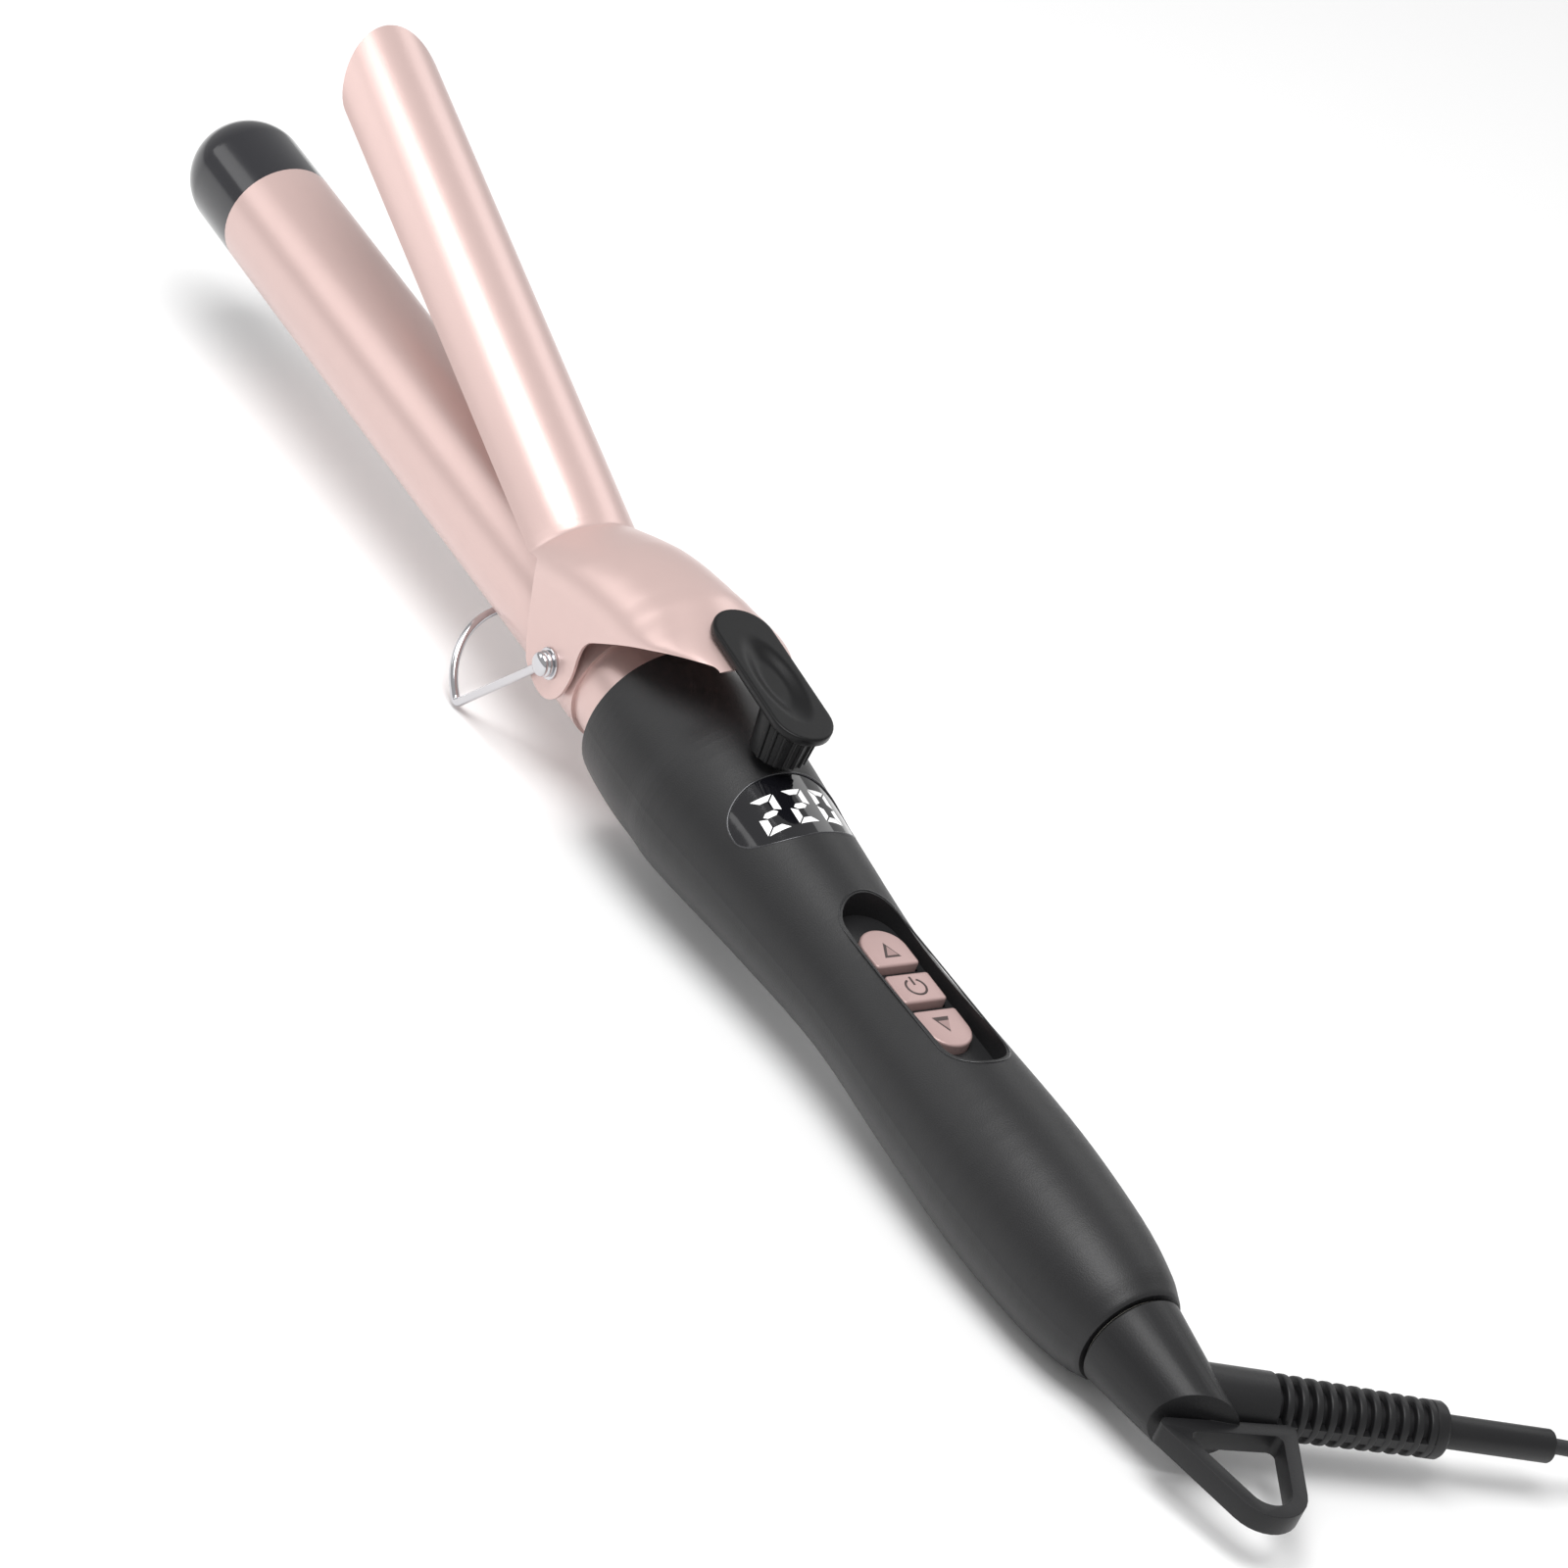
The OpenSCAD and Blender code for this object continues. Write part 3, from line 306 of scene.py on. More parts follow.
handleSheen = finish("handleSheen", (0.016, 0.016, 0.018), 0.25, (2400, 0.1, 0.0001, 0.03),
                     coat=0.3, coatRough=0.15)
# grey and metallic, lighter than the black around it: a painted highlight line for the window's rim
windowRimHighlight = finish("windowRimHighlight", (0.06, 0.06, 0.065), 0.18, (2000, 0.05, 0.0001, 0.03),
                 metallic=0.6, coat=0.4)
# painted shade: the walls and grooves of the sunk marks
markGrooveShade = finish("markGrooveShade", (0.055, 0.036, 0.034), 0.5, (3000, 0.1, 0.0001, 0.03))
cordBlack = finish("cordBlack", (0.02, 0.02, 0.022), 0.5, (2600, 0.3, 0.0002, 0.05, 0.05))
chromeSteel = finish("chromeSteel", (0.6, 0.6, 0.62), 0.1, (1800, 0.05, 0.0001, 0.03), metallic=1.0)
springSteel = finish("springSteel", (0.5, 0.5, 0.52), 0.32, (1500, 0.15, 0.0001, 0.06, 0.05),
                     metallic=1.0, stretch=(8, 1, 1))
brassMetal = finish("brassMetal", (0.65, 0.43, 0.17), 0.35, (1500, 0.15, 0.0001, 0.06, 0.05),
                    metallic=1.0)
aluminium = finish("aluminium", (0.68, 0.68, 0.7), 0.4, (1500, 0.2, 0.0001, 0.06, 0.05),
                   metallic=1.0, stretch=(1, 6, 6))
ceramicWhite = finish("ceramicWhite", (0.78, 0.75, 0.68), 0.7, (900, 0.3, 0.0002, 0.05, 0.04))
paperBrown = finish("paperBrown", (0.13, 0.085, 0.05), 0.6, (900, 0.3, 0.0002, 0.05, 0.1))
boardGreen = finish("boardGreen", (0.015, 0.12, 0.05), 0.35, (900, 0.2, 0.0001, 0.05, 0.1), coat=0.3)
displayWhite = finish("displayWhite", (0.85, 0.85, 0.83), 0.5, (900, 0.1, 0.0001, 0.03, 0.02))
leadRed = finish("leadRed", (0.42, 0.05, 0.04), 0.5, (1500, 0.2, 0.0001, 0.05, 0.05))
nylonCream = finish("nylonCream", (0.7, 0.68, 0.6), 0.45, (900, 0.15, 0.0001, 0.04, 0.03))
screwBlack = finish("screwBlack", (0.03, 0.03, 0.033), 0.35, (1500, 0.2, 0.0001, 0.05), metallic=0.7)

cadFinish = {
    "rose_metal": roseMetal, "gloss_black": tipBlack, "chrome": chromeSteel, "spring_steel": springSteel,
    "phenolic": paperBrown, "aluminium": aluminium, "ceramic": ceramicWhite, "brass": brassMetal,
    "wire_red": leadRed, "matte_black": handleBlack, "dark_screw": screwBlack, "window_black": windowBlack,
    "display_white": displayWhite, "board_green": boardGreen, "nylon": nylonCream, "button_rose": buttonRose,
    "cord_black": cordBlack, "nickel": chromeSteel}
for part in frame["record"]["subparts"]:
    for slot in nodes[part["node"]].material_slots:
        slot.material = cadFinish[part["material_slot"]]
print("materials made")


# cord: one run from the strain relief, through the coil, to the plug

cordSet = dict(
    diameter=0.0028,
    leadIn=[(194.9, 62.9, 9.9), (195.6, 64.8, 9.8), (197.2, 68.6, 9.6), (198.8, 72.4, 9.1),
            (200.4, 76.2, 8.1), (202, 80, 6.8), (203.7, 84, 5.3), (205.4, 88, 3.9), (207, 92, 2.8),
            (208.4, 96, 2.1), (209.5, 100, 1.6), (210.3, 104, 1.4), (210.8, 108, 1.4)],
    coilMiddle=(190, 112), rows=4, innerTurn=12.6, pointsPerTurn=24, lastPoints=2, bulge=1.1, shift=0.2,
    tail=[(207.7, 125.5, 9.6), (204.9, 131.5, 9), (201.2, 137.2, 8.3), (196.8, 141.9, 7.7),
          (192.4, 145.3, 7.2), (188, 147.6, 7), (182, 148.5, 7)])


def coilPlaces(rows):
    # outermost turn first, in and out by turns, one layer on the other
    return [((rows - 1 - i) if layer % 2 == 0 else i, layer) for layer in range(rows) for i in range(rows)]


def coilPoints():
    c = cordSet
    d = c["diameter"] / mm
    places = coilPlaces(c["rows"])
    n = c["pointsPerTurn"]
    points = []
    for k, (ring, layer) in enumerate(places):
        nextRing, nextLayer = places[min(k + 1, len(places) - 1)]
        for j in range(n):
            t = smooth((j / n - (1 - c["shift"])) / c["shift"])
            out = 1 if ring == c["rows"] - 1 else -1
            swell = c["bulge"] * math.sin(math.pi * t) * out if nextLayer != layer else 0
            r = c["innerTurn"] + d * blend(ring, nextRing, t) + swell
            a = 2 * math.pi * j / n
            points.append((c["coilMiddle"][0] + r * math.cos(a), c["coilMiddle"][1] + r * math.sin(a),
                           d * (0.5 + blend(layer, nextLayer, t))))
    r = c["innerTurn"] + d * (c["rows"] - 1)
    for j in range(c["lastPoints"]):  # up to where the cord leaves for the plug
        a = 2 * math.pi * j / n
        points.append((c["coilMiddle"][0] + r * math.cos(a), c["coilMiddle"][1] + r * math.sin(a),
                       d * (c["rows"] - 0.5)))
    return points


def addCord():
    c = cordSet
    route = [Vector(p) * mm for p in c["leadIn"] + coilPoints() + c["tail"]]
    curve = bpy.data.curves.new("cordRun", "CURVE")
    curve.dimensions = "3D"
    curve.bevel_depth = c["diameter"] / 2
    curve.bevel_resolution = 3
    curve.use_fill_caps = True
    spline = curve.splines.new("NURBS")
    spline.points.add(len(route) - 1)
    for point, where in zip(spline.points, route):
        point.co = (*where, 1)
    spline.order_u = 3
    spline.resolution_u = 2
    spline.use_endpoint_u = True
    obj = bpy.data.objects.new("cordRun", curve)
    bpy.context.scene.collection.objects.link(obj)
    length = sum((b - a).length for a, b in zip(route, route[1:]))
    print("cord length %.3f m" % length)
    keep(obj, "swivel", cordBlack, "cord_black", "cord", "cord_coil")


addCord()
print("cord laid")


# clamp: a blade along the tube and a saddle over the pivot, joined and cut to its lower edge

clampSet = dict(
    sheet=0.6, bladeRadius=13.4, bladeHalfArc=69, bladeLength=143.6, endLength=15, stepsAcross=72,
    endSteps=18, bladeStations=(-110, -90, -70, -50, -30, -23.9),
    # along the closed clamp: top, half width, height of the arch
    saddle=[(-24, 13.4, 13.4, 13.4), (-21.8, 13.6, 13.42, 13.42), (-20.2, 15.1, 13.55, 13.5),
            (-17.9, 17.1, 13.9, 13.7), (-15, 19.6, 14.25, 13.95), (-12.2, 21.9, 14.42, 14.15),
            (-9.5, 24.05, 14.5, 14.3), (-6, 26.4, 14.5, 14.4), (-3, 28.2, 14.5, 14.5), (0, 29.8, 14.5, 14.5),
            (4.5, 32.1, 14.5, 14.5), (9.4, 34.2, 14.75, 13.6), (12.6, 34.97, 14.7, 11.2),
            (16, 35.75, 14.3, 8.4), (19.1, 36.45, 13.1, 5.7), (23, 37.35, 11, 3.1), (27.6, 38.4, 8.9, 1.5)],
    stationStep=0.4,
    # how far the saddle's walls run down before they are cut: to a level, or below the arch past the ears
    wallLow=-8, wallPast=12, wallBelow=3,
    # the lower edge, seen from the side, and the box above it that the sheet is cut with
    edge=[(-24, 4.8), (-22, 4.8), (-20.6, 5.9), (-18.7, 7), (-16.4, 5.9), (-13.7, 3), (-9.5, -1.9),
          (-5.8, -5.6), (-3.4, -6.5), (0, -6.75), (3, -6.1), (5.2, -4.3), (6.5, -1.6), (6.7, 1.4), (6.1, 5),
          (4.7, 8.2), (4.1, 10.6), (4.3, 12.6), (5.6, 15), (12.6, 24.3), (19.1, 31.4), (24.5, 36), (27, 37.3),
          (28.4, 37.4)],
    box=[(28.4, 60), (-24.2, 60), (-24.2, 4.8)], boxHalf=20, sharpAngle=28)


def roundedRun(points, steps=6):
    # a smooth run through a few points, each stretch eased by its neighbours
    out = []
    for i in range(len(points) - 1):
        a, b, c, d = (Vector(points[min(max(j, 0), len(points) - 1)]) for j in (i - 1, i, i + 1, i + 2))
        for s in range(steps):
            t = s / steps
            out.append(0.5 * (2 * b + (c - a) * t + (2 * a - 5 * b + 4 * c - d) * t * t
                              + (3 * b - a - 3 * c + d) * t**3))
    return out + [Vector(points[-1])]


def archRing(x, top, half, height, halfArc, wall, n):
    # one cross-section, outside then inside, as a closed ring
    ring = []
    middle = top - height
    for off in (0, clampSet["sheet"]):
        side = []
        for i in range(n + 1):
            q = math.radians(blend(-halfArc, halfArc, i / n))
            side.append(Vector((x, (half - off) * math.sin(q), middle + (height - off) * math.cos(q))))
        if wall is not None:
            side = [Vector((x, side[0].y, wall))] + side + [Vector((x, side[-1].y, wall))]
        ring += side if off == 0 else side[::-1]
    return ring


def skin(rings):
    # closed loft through rings of the same length; each end is closed by strips across the sheet
    n = len(rings[0])
    points = [p for ring in rings for p in ring]
    faces = [(k * n + i, k * n + (i + 1) % n, (k + 1) * n + (i + 1) % n, (k + 1) * n + i)
             for k in range(len(rings) - 1) for i in range(n)]
    for base, flip in ((0, False), ((len(rings) - 1) * n, True)):
        for i in range(n // 2 - 1):
            face = (base + i, base + n - 1 - i, base + n - 2 - i, base + i + 1)
            faces.append(face[::-1] if flip else face)
    return points, faces


def addClamp():
    c = clampSet
    n, r = c["stepsAcross"], c["bladeRadius"]
    widest = r * math.sin(math.radians(c["bladeHalfArc"]))
    blade = []
    for i in range(1, c["endSteps"] + 1):
        a = math.radians(90 / c["endSteps"] * i)
        x = -c["bladeLength"] + c["endLength"] * (1 - math.cos(a))
        blade.append(archRing(x, r, r, r, math.degrees(math.asin(widest * math.sin(a) / r)), None, n))
    for x in c["bladeStations"]:
        blade.append(archRing(x, r, r, r, c["bladeHalfArc"], None, n))
    bladeObj = tidy(addMesh("bladeSheet", *skin(blade)))
    saddle = []
    x = float(c["saddle"][0][0])
    while x <= c["saddle"][-1][0]:
        top, half, height = curveThrough(c["saddle"], x)
        wall = top - height - c["wallBelow"]
        if x < c["wallPast"]:
            wall = min(c["wallLow"], top - height - 1)
        saddle.append(archRing(x, top, half, height, 90, wall, n))
        x += c["stationStep"]
    saddleObj = tidy(addMesh("clampSheet", *skin(saddle)))
    loop = [(p.x, p.y) for p in roundedRun(c["edge"], 5)] + c["box"]
    m, wide = len(loop), c["boxHalf"]
    cutter = tidy(addMesh("clampCutter", [(x, -wide, z) for x, z in loop] + [(x, wide, z) for x, z in loop],
                          [tuple(range(m)), tuple(range(2 * m - 1, m - 1, -1))]
                          + [(i, (i + 1) % m, m + (i + 1) % m, m + i) for i in range(m)]))
    for other, kind in ((cutter, "INTERSECT"), (bladeObj, "UNION")):
        modifier = saddleObj.modifiers.new("join", "BOOLEAN")
        modifier.operation = kind
        modifier.solver = "EXACT"
        modifier.object = other
    bakeModifiers(saddleObj)
    for helper in (cutter, bladeObj):
        bpy.data.objects.remove(helper)
    return saddleObj


clamp = addClamp()
place(clamp, clampFrame)
keep(clamp, "clamp", roseMetal, "rose_metal", "clamp_shell")
for face in clamp.data.polygons:
    face.use_smooth = True
clamp.data.set_sharp_from_angle(angle=math.radians(clampSet["sharpAngle"]))
print("clamp made")


# shapes that several pieces use

def makeTubeTree():
    # a round tube along a run of edges, with its ends closed
    tree, given = newTree("tubeAlong", ("Radius", "Float"), ("Sides", "Int"), ("Material", "Material"))
    path = step(tree, "GeometryNodeMeshToCurve", {"Mesh": given["Shape"]})
    circle = step(tree, "GeometryNodeCurvePrimitiveCircle",
                  {"Resolution": given["Sides"], "Radius": given["Radius"]})
    tube = step(tree, "GeometryNodeCurveToMesh", {"Curve": path, "Profile Curve": circle, "Fill Caps": True})
    return closeTree(tree, given, tube)


tubeTree = makeTubeTree()


def tubeAlong(name, points, radius, material, sides=16, closed=False, sharp=50):
    line = polyline(name, points, closed)
    obj = runTree(line, tubeTree, Radius=radius, Sides=sides, Material=material)
    tidy(obj, 1e-5)
    obj.data.shade_smooth()
    obj.data.set_sharp_from_angle(angle=math.radians(sharp))
    return obj


def lathe(name, profile, turns=64, angle=35):
    # a closed outline of (along, radius) points turned about the x axis; points on the axis are shared
    points, faces, ids = [], [], []
    for along, radius in profile:
        row = []
        for i in range(1 if radius < 1e-6 else turns):
            a = 2 * math.pi * i / turns
            row.append(len(points))
            points.append((along, radius * math.cos(a), radius * math.sin(a)))
        ids.append(row * turns if len(row) == 1 else row)
    for a, b in zip(ids, ids[1:]):
        for i in range(turns):
            j = (i + 1) % turns
            face = [a[i], a[j], b[j], b[i]]
            faces.append(tuple(dict.fromkeys(face)))
    obj = tidy(addMesh(name, points, [f for f in faces if len(f) > 2]))
    obj.data.set_sharp_from_angle(angle=math.radians(angle))
    return obj


def joined(name, objs):
    # several shapes as one object, each with its own material
    bm = bmesh.new()
    mesh = bpy.data.meshes.new(name)
    for k, obj in enumerate(objs):
        start = len(bm.faces)
        bm.from_mesh(obj.data)
        bm.faces.ensure_lookup_table()
        for face in bm.faces[start:]:
            face.material_index = k
        mesh.materials.append(obj.data.materials[0])
        bpy.data.objects.remove(obj)
    bm.to_mesh(mesh)
    bm.free()
    out = bpy.data.objects.new(name, mesh)
    bpy.context.scene.collection.objects.link(out)
    return out


def ownFinish(obj, body, slot, *cadNodes):
    # a piece that already has its materials
    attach(obj, body)
    if cadNodes:
        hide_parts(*cadNodes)
    return obj


def softened(node, body, material, slot, width, steps=3, sharp=30):
    # a hard-edged piece again, with its edges rounded
    obj = nodes[node].copy()
    obj.data = nodes[node].data.copy()
    obj.name = node + "Soft"
    obj.parent = None
    bpy.context.scene.collection.objects.link(obj)
    obj.matrix_world = Matrix.Identity(4)
    bm = bmesh.new()
    bm.from_mesh(obj.data)
    bmesh.ops.remove_doubles(bm, verts=bm.verts, dist=2e-6)
    bmesh.ops.dissolve_limit(bm, angle_limit=math.radians(1.5), verts=bm.verts, edges=bm.edges)
    for face in bm.faces:
        face.smooth = True
    for edge in bm.edges:
        edge.smooth = True
    bm.to_mesh(obj.data)
    bm.free()
    bevel = obj.modifiers.new("edges", "BEVEL")
    bevel.width = width * mm
    bevel.segments = steps
    bevel.angle_limit = math.radians(sharp)
    bevel.use_clamp_overlap = True
    bakeModifiers(obj)
    obj.data.shade_smooth()
    obj.data.set_sharp_from_angle(angle=math.radians(40))
    return keep(obj, body, material, slot, node)


# handle outline: distance behind the pivot and radius
handleSet = dict(knots=[(18.2, 16.25), (27.97, 17.2), (36.92, 17.25), (45.88, 17.2), (71.92, 14.7),
                        (97.16, 12.95), (122.39, 13.95), (144.86, 14.6), (164.72, 13.7)])
handleRun = roundedRun([(*k, 0) for k in handleSet["knots"]], 5)


def handleRadius(x):
    for a, b in zip(handleRun, handleRun[1:]):
        if a.x <= x <= b.x:
            return blend(a.y, b.y, (x - a.x) / (b.x - a.x))
    return handleRun[-1].y


def onHandle(x, y, lift=0.0):
    return Vector((x, y, math.sqrt((handleRadius(x) + lift) ** 2 - y * y)))


# display window: rim, a glossy tube whose lighter grey colour is a painted highlight along the groove edge, and
# digits
windowSet = dict(middle=61.6, length=15, width=25.6, power=2.6, sink=0.15, rim=0.2, rimLift=-0.06, points=96)
digitSet = dict(top=58.2, height=8.0, thick=1.2, gap=0.2, lift=0.04, deep=0.12, cells=6,
                starts=(-8.7, -2.8, 3.1), width=4.3, lit=("abged", "abged", "abcdef"))


def windowLoop():
    w = windowSet
    loop = []
    for i in range(w["points"]):
        a = 2 * math.pi * i / w["points"]
        c, s = math.cos(a), math.sin(a)
        n = 2 / w["power"]
        x = w["middle"] + w["length"] / 2 * math.copysign(abs(c) ** n, c)
        y = w["width"] / 2 * math.copysign(abs(s) ** n, s)
        loop.append((x, y))
    return loop


def segmentPatches(letter, w, h, t, g):
    # four-cornered patches of one bar of a digit: across, down
    half, k = h / 2, t / 2
    bars = {
        "a": [[(g, 0), (w - g, 0), (w - t - g, t), (t + g, t)]],
        "d": [[(t + g, h - t), (w - t - g, h - t), (w - g, h), (g, h)]],
        "f": [[(0, g), (t, t + g), (t, half - k - g), (0, half - g)]],
        "b": [[(w - t, t + g), (w, g), (w, half - g), (w - t, half - k - g)]],
        "e": [[(0, half + g), (t, half + k + g), (t, h - t - g), (0, h - g)]],
        "c": [[(w - t, half + k + g), (w, half + g), (w, h - g), (w - t, h - t - g)]],
        "g": [[(t + g, half - k), (w - t - g, half - k), (w - k - g, half), (k + g, half)],
              [(k + g, half), (w - k - g, half), (w - t - g, half + k), (t + g, half + k)]]}
    return bars[letter]


def addDisplay():
    d, w = digitSet, windowSet
    points, faces, n = [], [], d["cells"]
    for start, letters in zip(d["starts"], d["lit"]):
        patches = [p for letter in letters
                   for p in segmentPatches(letter, d["width"], d["height"], d["thick"], d["gap"])]
        for a, b, c, e in patches:
            base = len(points)
            for lift in (d["lift"], d["lift"] - d["deep"]):
                for k in range((n + 1) ** 2):
                    u, v = k % (n + 1) / n, k // (n + 1) / n
                    across = blend(blend(a[0], b[0], u), blend(e[0], c[0], u), v)
                    below = blend(blend(a[1], b[1], u), blend(e[1], c[1], u), v)
                    points.append(onHandle(d["top"] + below, start + across, lift - w["sink"]))
            m, under = n + 1, (n + 1) ** 2
            cells = [base + j * m + i for j in range(n) for i in range(n)]
            faces += [(q, q + 1, q + m + 1, q + m) for q in cells]
            faces += [(under + q, under + q + m, under + q + m + 1, under + q + 1) for q in cells]
            border = [base + i for i in range(n)] + [base + i * m + n for i in range(n)]
            border += [base + n * m + n - i for i in range(n)] + [base + (n - i) * m for i in range(n)]
            faces += [(i, i + under, j + under, j) for i, j in zip(border, border[1:] + border[:1])]
    digits = tidy(addMesh("displayDigits", points, faces, False), 1e-5)
    keep(place(digits, ironFrame), "iron", digitWhite, "display_white")
    edge = [onHandle(x, y, w["rimLift"]) for x, y in windowLoop()]
    # the rim tube, lighter grey as a painted highlight on the window's edge
    rim = tubeAlong("windowRim", edge, w["rim"], windowRimHighlight, 10, closed=True)
    ownFinish(place(rim, ironFrame), "iron", "window_black")


addDisplay()
print("display made")


# button recess edge, buttons and their marks; the sunk marks get painted shade
recessSet = dict(front=84, length=44.5, half=6.3, edge=0.55, wire=0.16, wireLift=0.02)
keySet = dict(top=10.3, under=6.6, half=4.7, corner=0.7, soft=0.5, upFront=90.15, upRear=99.55,
              powerFront=101.75, powerRear=108.95, downFront=111.15, downRear=120.55)
markSet = dict(up=95.6, power=105.3, down=115.1, proud=0.02, triangle=(3.8, 3.5),
               # the paler face inside a triangle, the sunk mark's floor in painted shade: moved and shrunk, so the
               # darker painted shade of the walls is wider on one side
               move=(0.25, 0.18), shrink=(0.62, 0.66),
               ring=1.95, line=0.279, sink=0.15, arcStart=150, arcTurn=7.5, arcSteps=40, bar=(2.5, 0.5))


def stadiumLoop(x0, x1, half, n=16):
    loop = []
    for middle, start in ((x1 - half, -90), (x0 + half, 90)):
        for i in range(n + 1):
            a = math.radians(start + 180 * i / n)
            loop.append((middle + half * math.cos(a), half * math.sin(a)))
    return loop


def plate(name, outline, z, thick=0.06):
    n = len(outline)
    points = [(x, y, z) for x, y in outline] + [(x, y, z - thick) for x, y in outline]
    faces = [tuple(range(n)), tuple(range(2 * n - 1, n - 1, -1))]
    faces += [(i, n + i, n + (i + 1) % n, (i + 1) % n) for i in range(n)]
    return tidy(addMesh(name, points, faces, False), 1e-5)


def roundedBox(x0, x1, half, corner, n=6):
    loop = []
    for i, (x, y) in enumerate(((x1 - corner, half - corner), (x0 + corner, half - corner),
                                (x0 + corner, corner - half), (x1 - corner, corner - half))):
        for k in range(n + 1):
            a = math.radians(90 * i + 90 * k / n)
            loop.append((x + corner * math.cos(a), y + corner * math.sin(a)))
    return loop


def dShape(x0, x1, half, way, n=24):
    # straight at one end with small corners, half round at the other
    if way < 0:
        return [(x0 + x1 - x, y) for x, y in dShape(x0, x1, half, 1)][::-1]
    corner = keySet["corner"]
    loop = [(x1 - half + half * math.cos(a), half * math.sin(a))
            for a in (math.radians(-90 + 180 * k / n) for k in range(n + 1))]
    for start, y in ((90, half - corner), (180, corner - half)):
        for k in range(7):
            a = math.radians(start + 90 * k / 6)
            loop.append((x0 + corner + corner * math.cos(a), y + corner * math.sin(a)))
    return loop


def insetLoop(loop, inset):
    n, out = len(loop), []
    for i in range(n):
        a, b, c = (Vector(loop[k % n]) for k in (i - 1, i, i + 1))
        u, v = (b - a).normalized(), (c - b).normalized()
        normal = Vector((-(u.y + v.y), u.x + v.x)).normalized()
        out.append(tuple(b + normal * inset / max(0.5, normal.dot(Vector((-u.y, u.x))))))
    return out


def roundedCap(name, outline, low, top, soft, steps=4):
    # an upright prism whose top edge is rounded
    rings = [(0, low), (0, top - soft)]
    for i in range(1, steps + 1):
        a = math.radians(90 * i / steps)
        rings.append((soft * (1 - math.cos(a)), top - soft * (1 - math.sin(a))))
    n = len(outline)
    points = [(x, y, z) for inset, z in rings for x, y in insetLoop(outline, inset)]
    faces = [tuple(range(n - 1, -1, -1)), tuple(range((len(rings) - 1) * n, len(rings) * n))]
    faces += [(k * n + i, k * n + (i + 1) % n, (k + 1) * n + (i + 1) % n, (k + 1) * n + i)
              for k in range(len(rings) - 1) for i in range(n)]
    obj = tidy(addMesh(name, points, faces), 1e-4)
    obj.data.set_sharp_from_angle(angle=math.radians(50))
    return obj


def addKeys():
    r, k, m = recessSet, keySet, markSet
    rear = r["front"] + r["length"]
    loop = stadiumLoop(r["front"] - r["edge"], rear + r["edge"], r["half"] + r["edge"], 24)
    edge = [onHandle(x, y, r["wireLift"]) for x, y in loop]
    rim = tubeAlong("recessRim", edge, r["wire"], handleSheen, 8, closed=True)
    ownFinish(place(rim, ironFrame), "iron", "matte_black")
    half = k["half"]
    caps = {"up": dShape(k["upFront"], k["upRear"], half, -1),
            "down": dShape(k["downFront"], k["downRear"], half, 1),
            "power": roundedBox(k["powerFront"], k["powerRear"], half, k["corner"])}
    for name, outline in caps.items():
        cap = roundedCap("key" + name.title(), outline, k["under"], k["top"], k["soft"])
        keep(place(cap, ironFrame), name + "_key", buttonRose, "button_rose", "button_" + name)
    z = k["top"] + m["proud"]
    ahead, aside = m["triangle"][0] / 2, m["triangle"][1] / 2
    for name, body, x, way in (("upMark", "up_key", m["up"], -1), ("downMark", "down_key", m["down"], 1)):
        outer = [(x + way * ahead, 0), (x - way * ahead, way * aside), (x - way * ahead, -way * aside)]
        inner = [(x + m["move"][0] + m["shrink"][0] * (a - x), m["move"][1] + m["shrink"][1] * b)
                 for a, b in outer]
        # a dark plate as painted shade of the sunk triangle's walls, under a paler plate as its floor in painted
        # shade
        dark = wear(plate(name + "Edge", outer, z), markGrooveShade)
        light = wear(plate(name + "Face", inner, z + m["proud"]), markFloorShade)
        ownFinish(place(joined(name, [dark, light]), ironFrame), body, "button_rose")
    # the power sign: dark tubes as painted shade in its sunk groove
    low = z - m["sink"]
    arc = []
    for i in range(m["arcSteps"] + 1):
        a = math.radians(m["arcStart"] - m["arcTurn"] * i)
        arc.append((m["power"] + m["ring"] * math.cos(a), m["ring"] * math.sin(a), low))
    ring = tubeAlong("powerRing", arc, m["line"], markGrooveShade, 8)
    bar = tubeAlong("powerBar", [(m["power"] - x, 0, low) for x in m["bar"]], m["line"], markGrooveShade, 8)
    ownFinish(place(joined("powerMark", [ring, bar]), ironFrame), "power_key", "button_rose")


addKeys()
print("buttons made")


# thumb pad on the clamp and the grip post under its rear end
padSet = dict(front=(14.4, 35.53), tilt=12.9, length=34.5, width=12.4, thick=1.8, edge=0.4, under=0.3,
              dishMiddle=18.6, dishHalf=(11.2, 4.5), depth=1.0, dishReach=1.04, dishEase=0.62,
              around=20, straight=28, inward=16, crest=0.06, sharpAngle=50)
postSet = dict(x=50.6, foot=18.6, height=8.8, low=5.2, high=6.0, ribs=9, ribRadius=0.42, spread=76)


def padRing(inset):
    # the pad's outline, moved inwards: a half circle and a straight side, twice
    p = padSet
    half = p["width"] / 2
    radius = half - inset
    ring = []
    for way in (1, -1):
        middle = p["length"] - half if way == 1 else half
        for i in range(p["around"]):
            a = math.radians(180 * i / p["around"] - 90 * way)
            ring.append((middle + radius * math.cos(a), radius * math.sin(a)))
        for i in range(p["straight"]):
            ring.append((middle + (2 * half - p["length"]) * way * i / p["straight"], way * radius))
    return ring


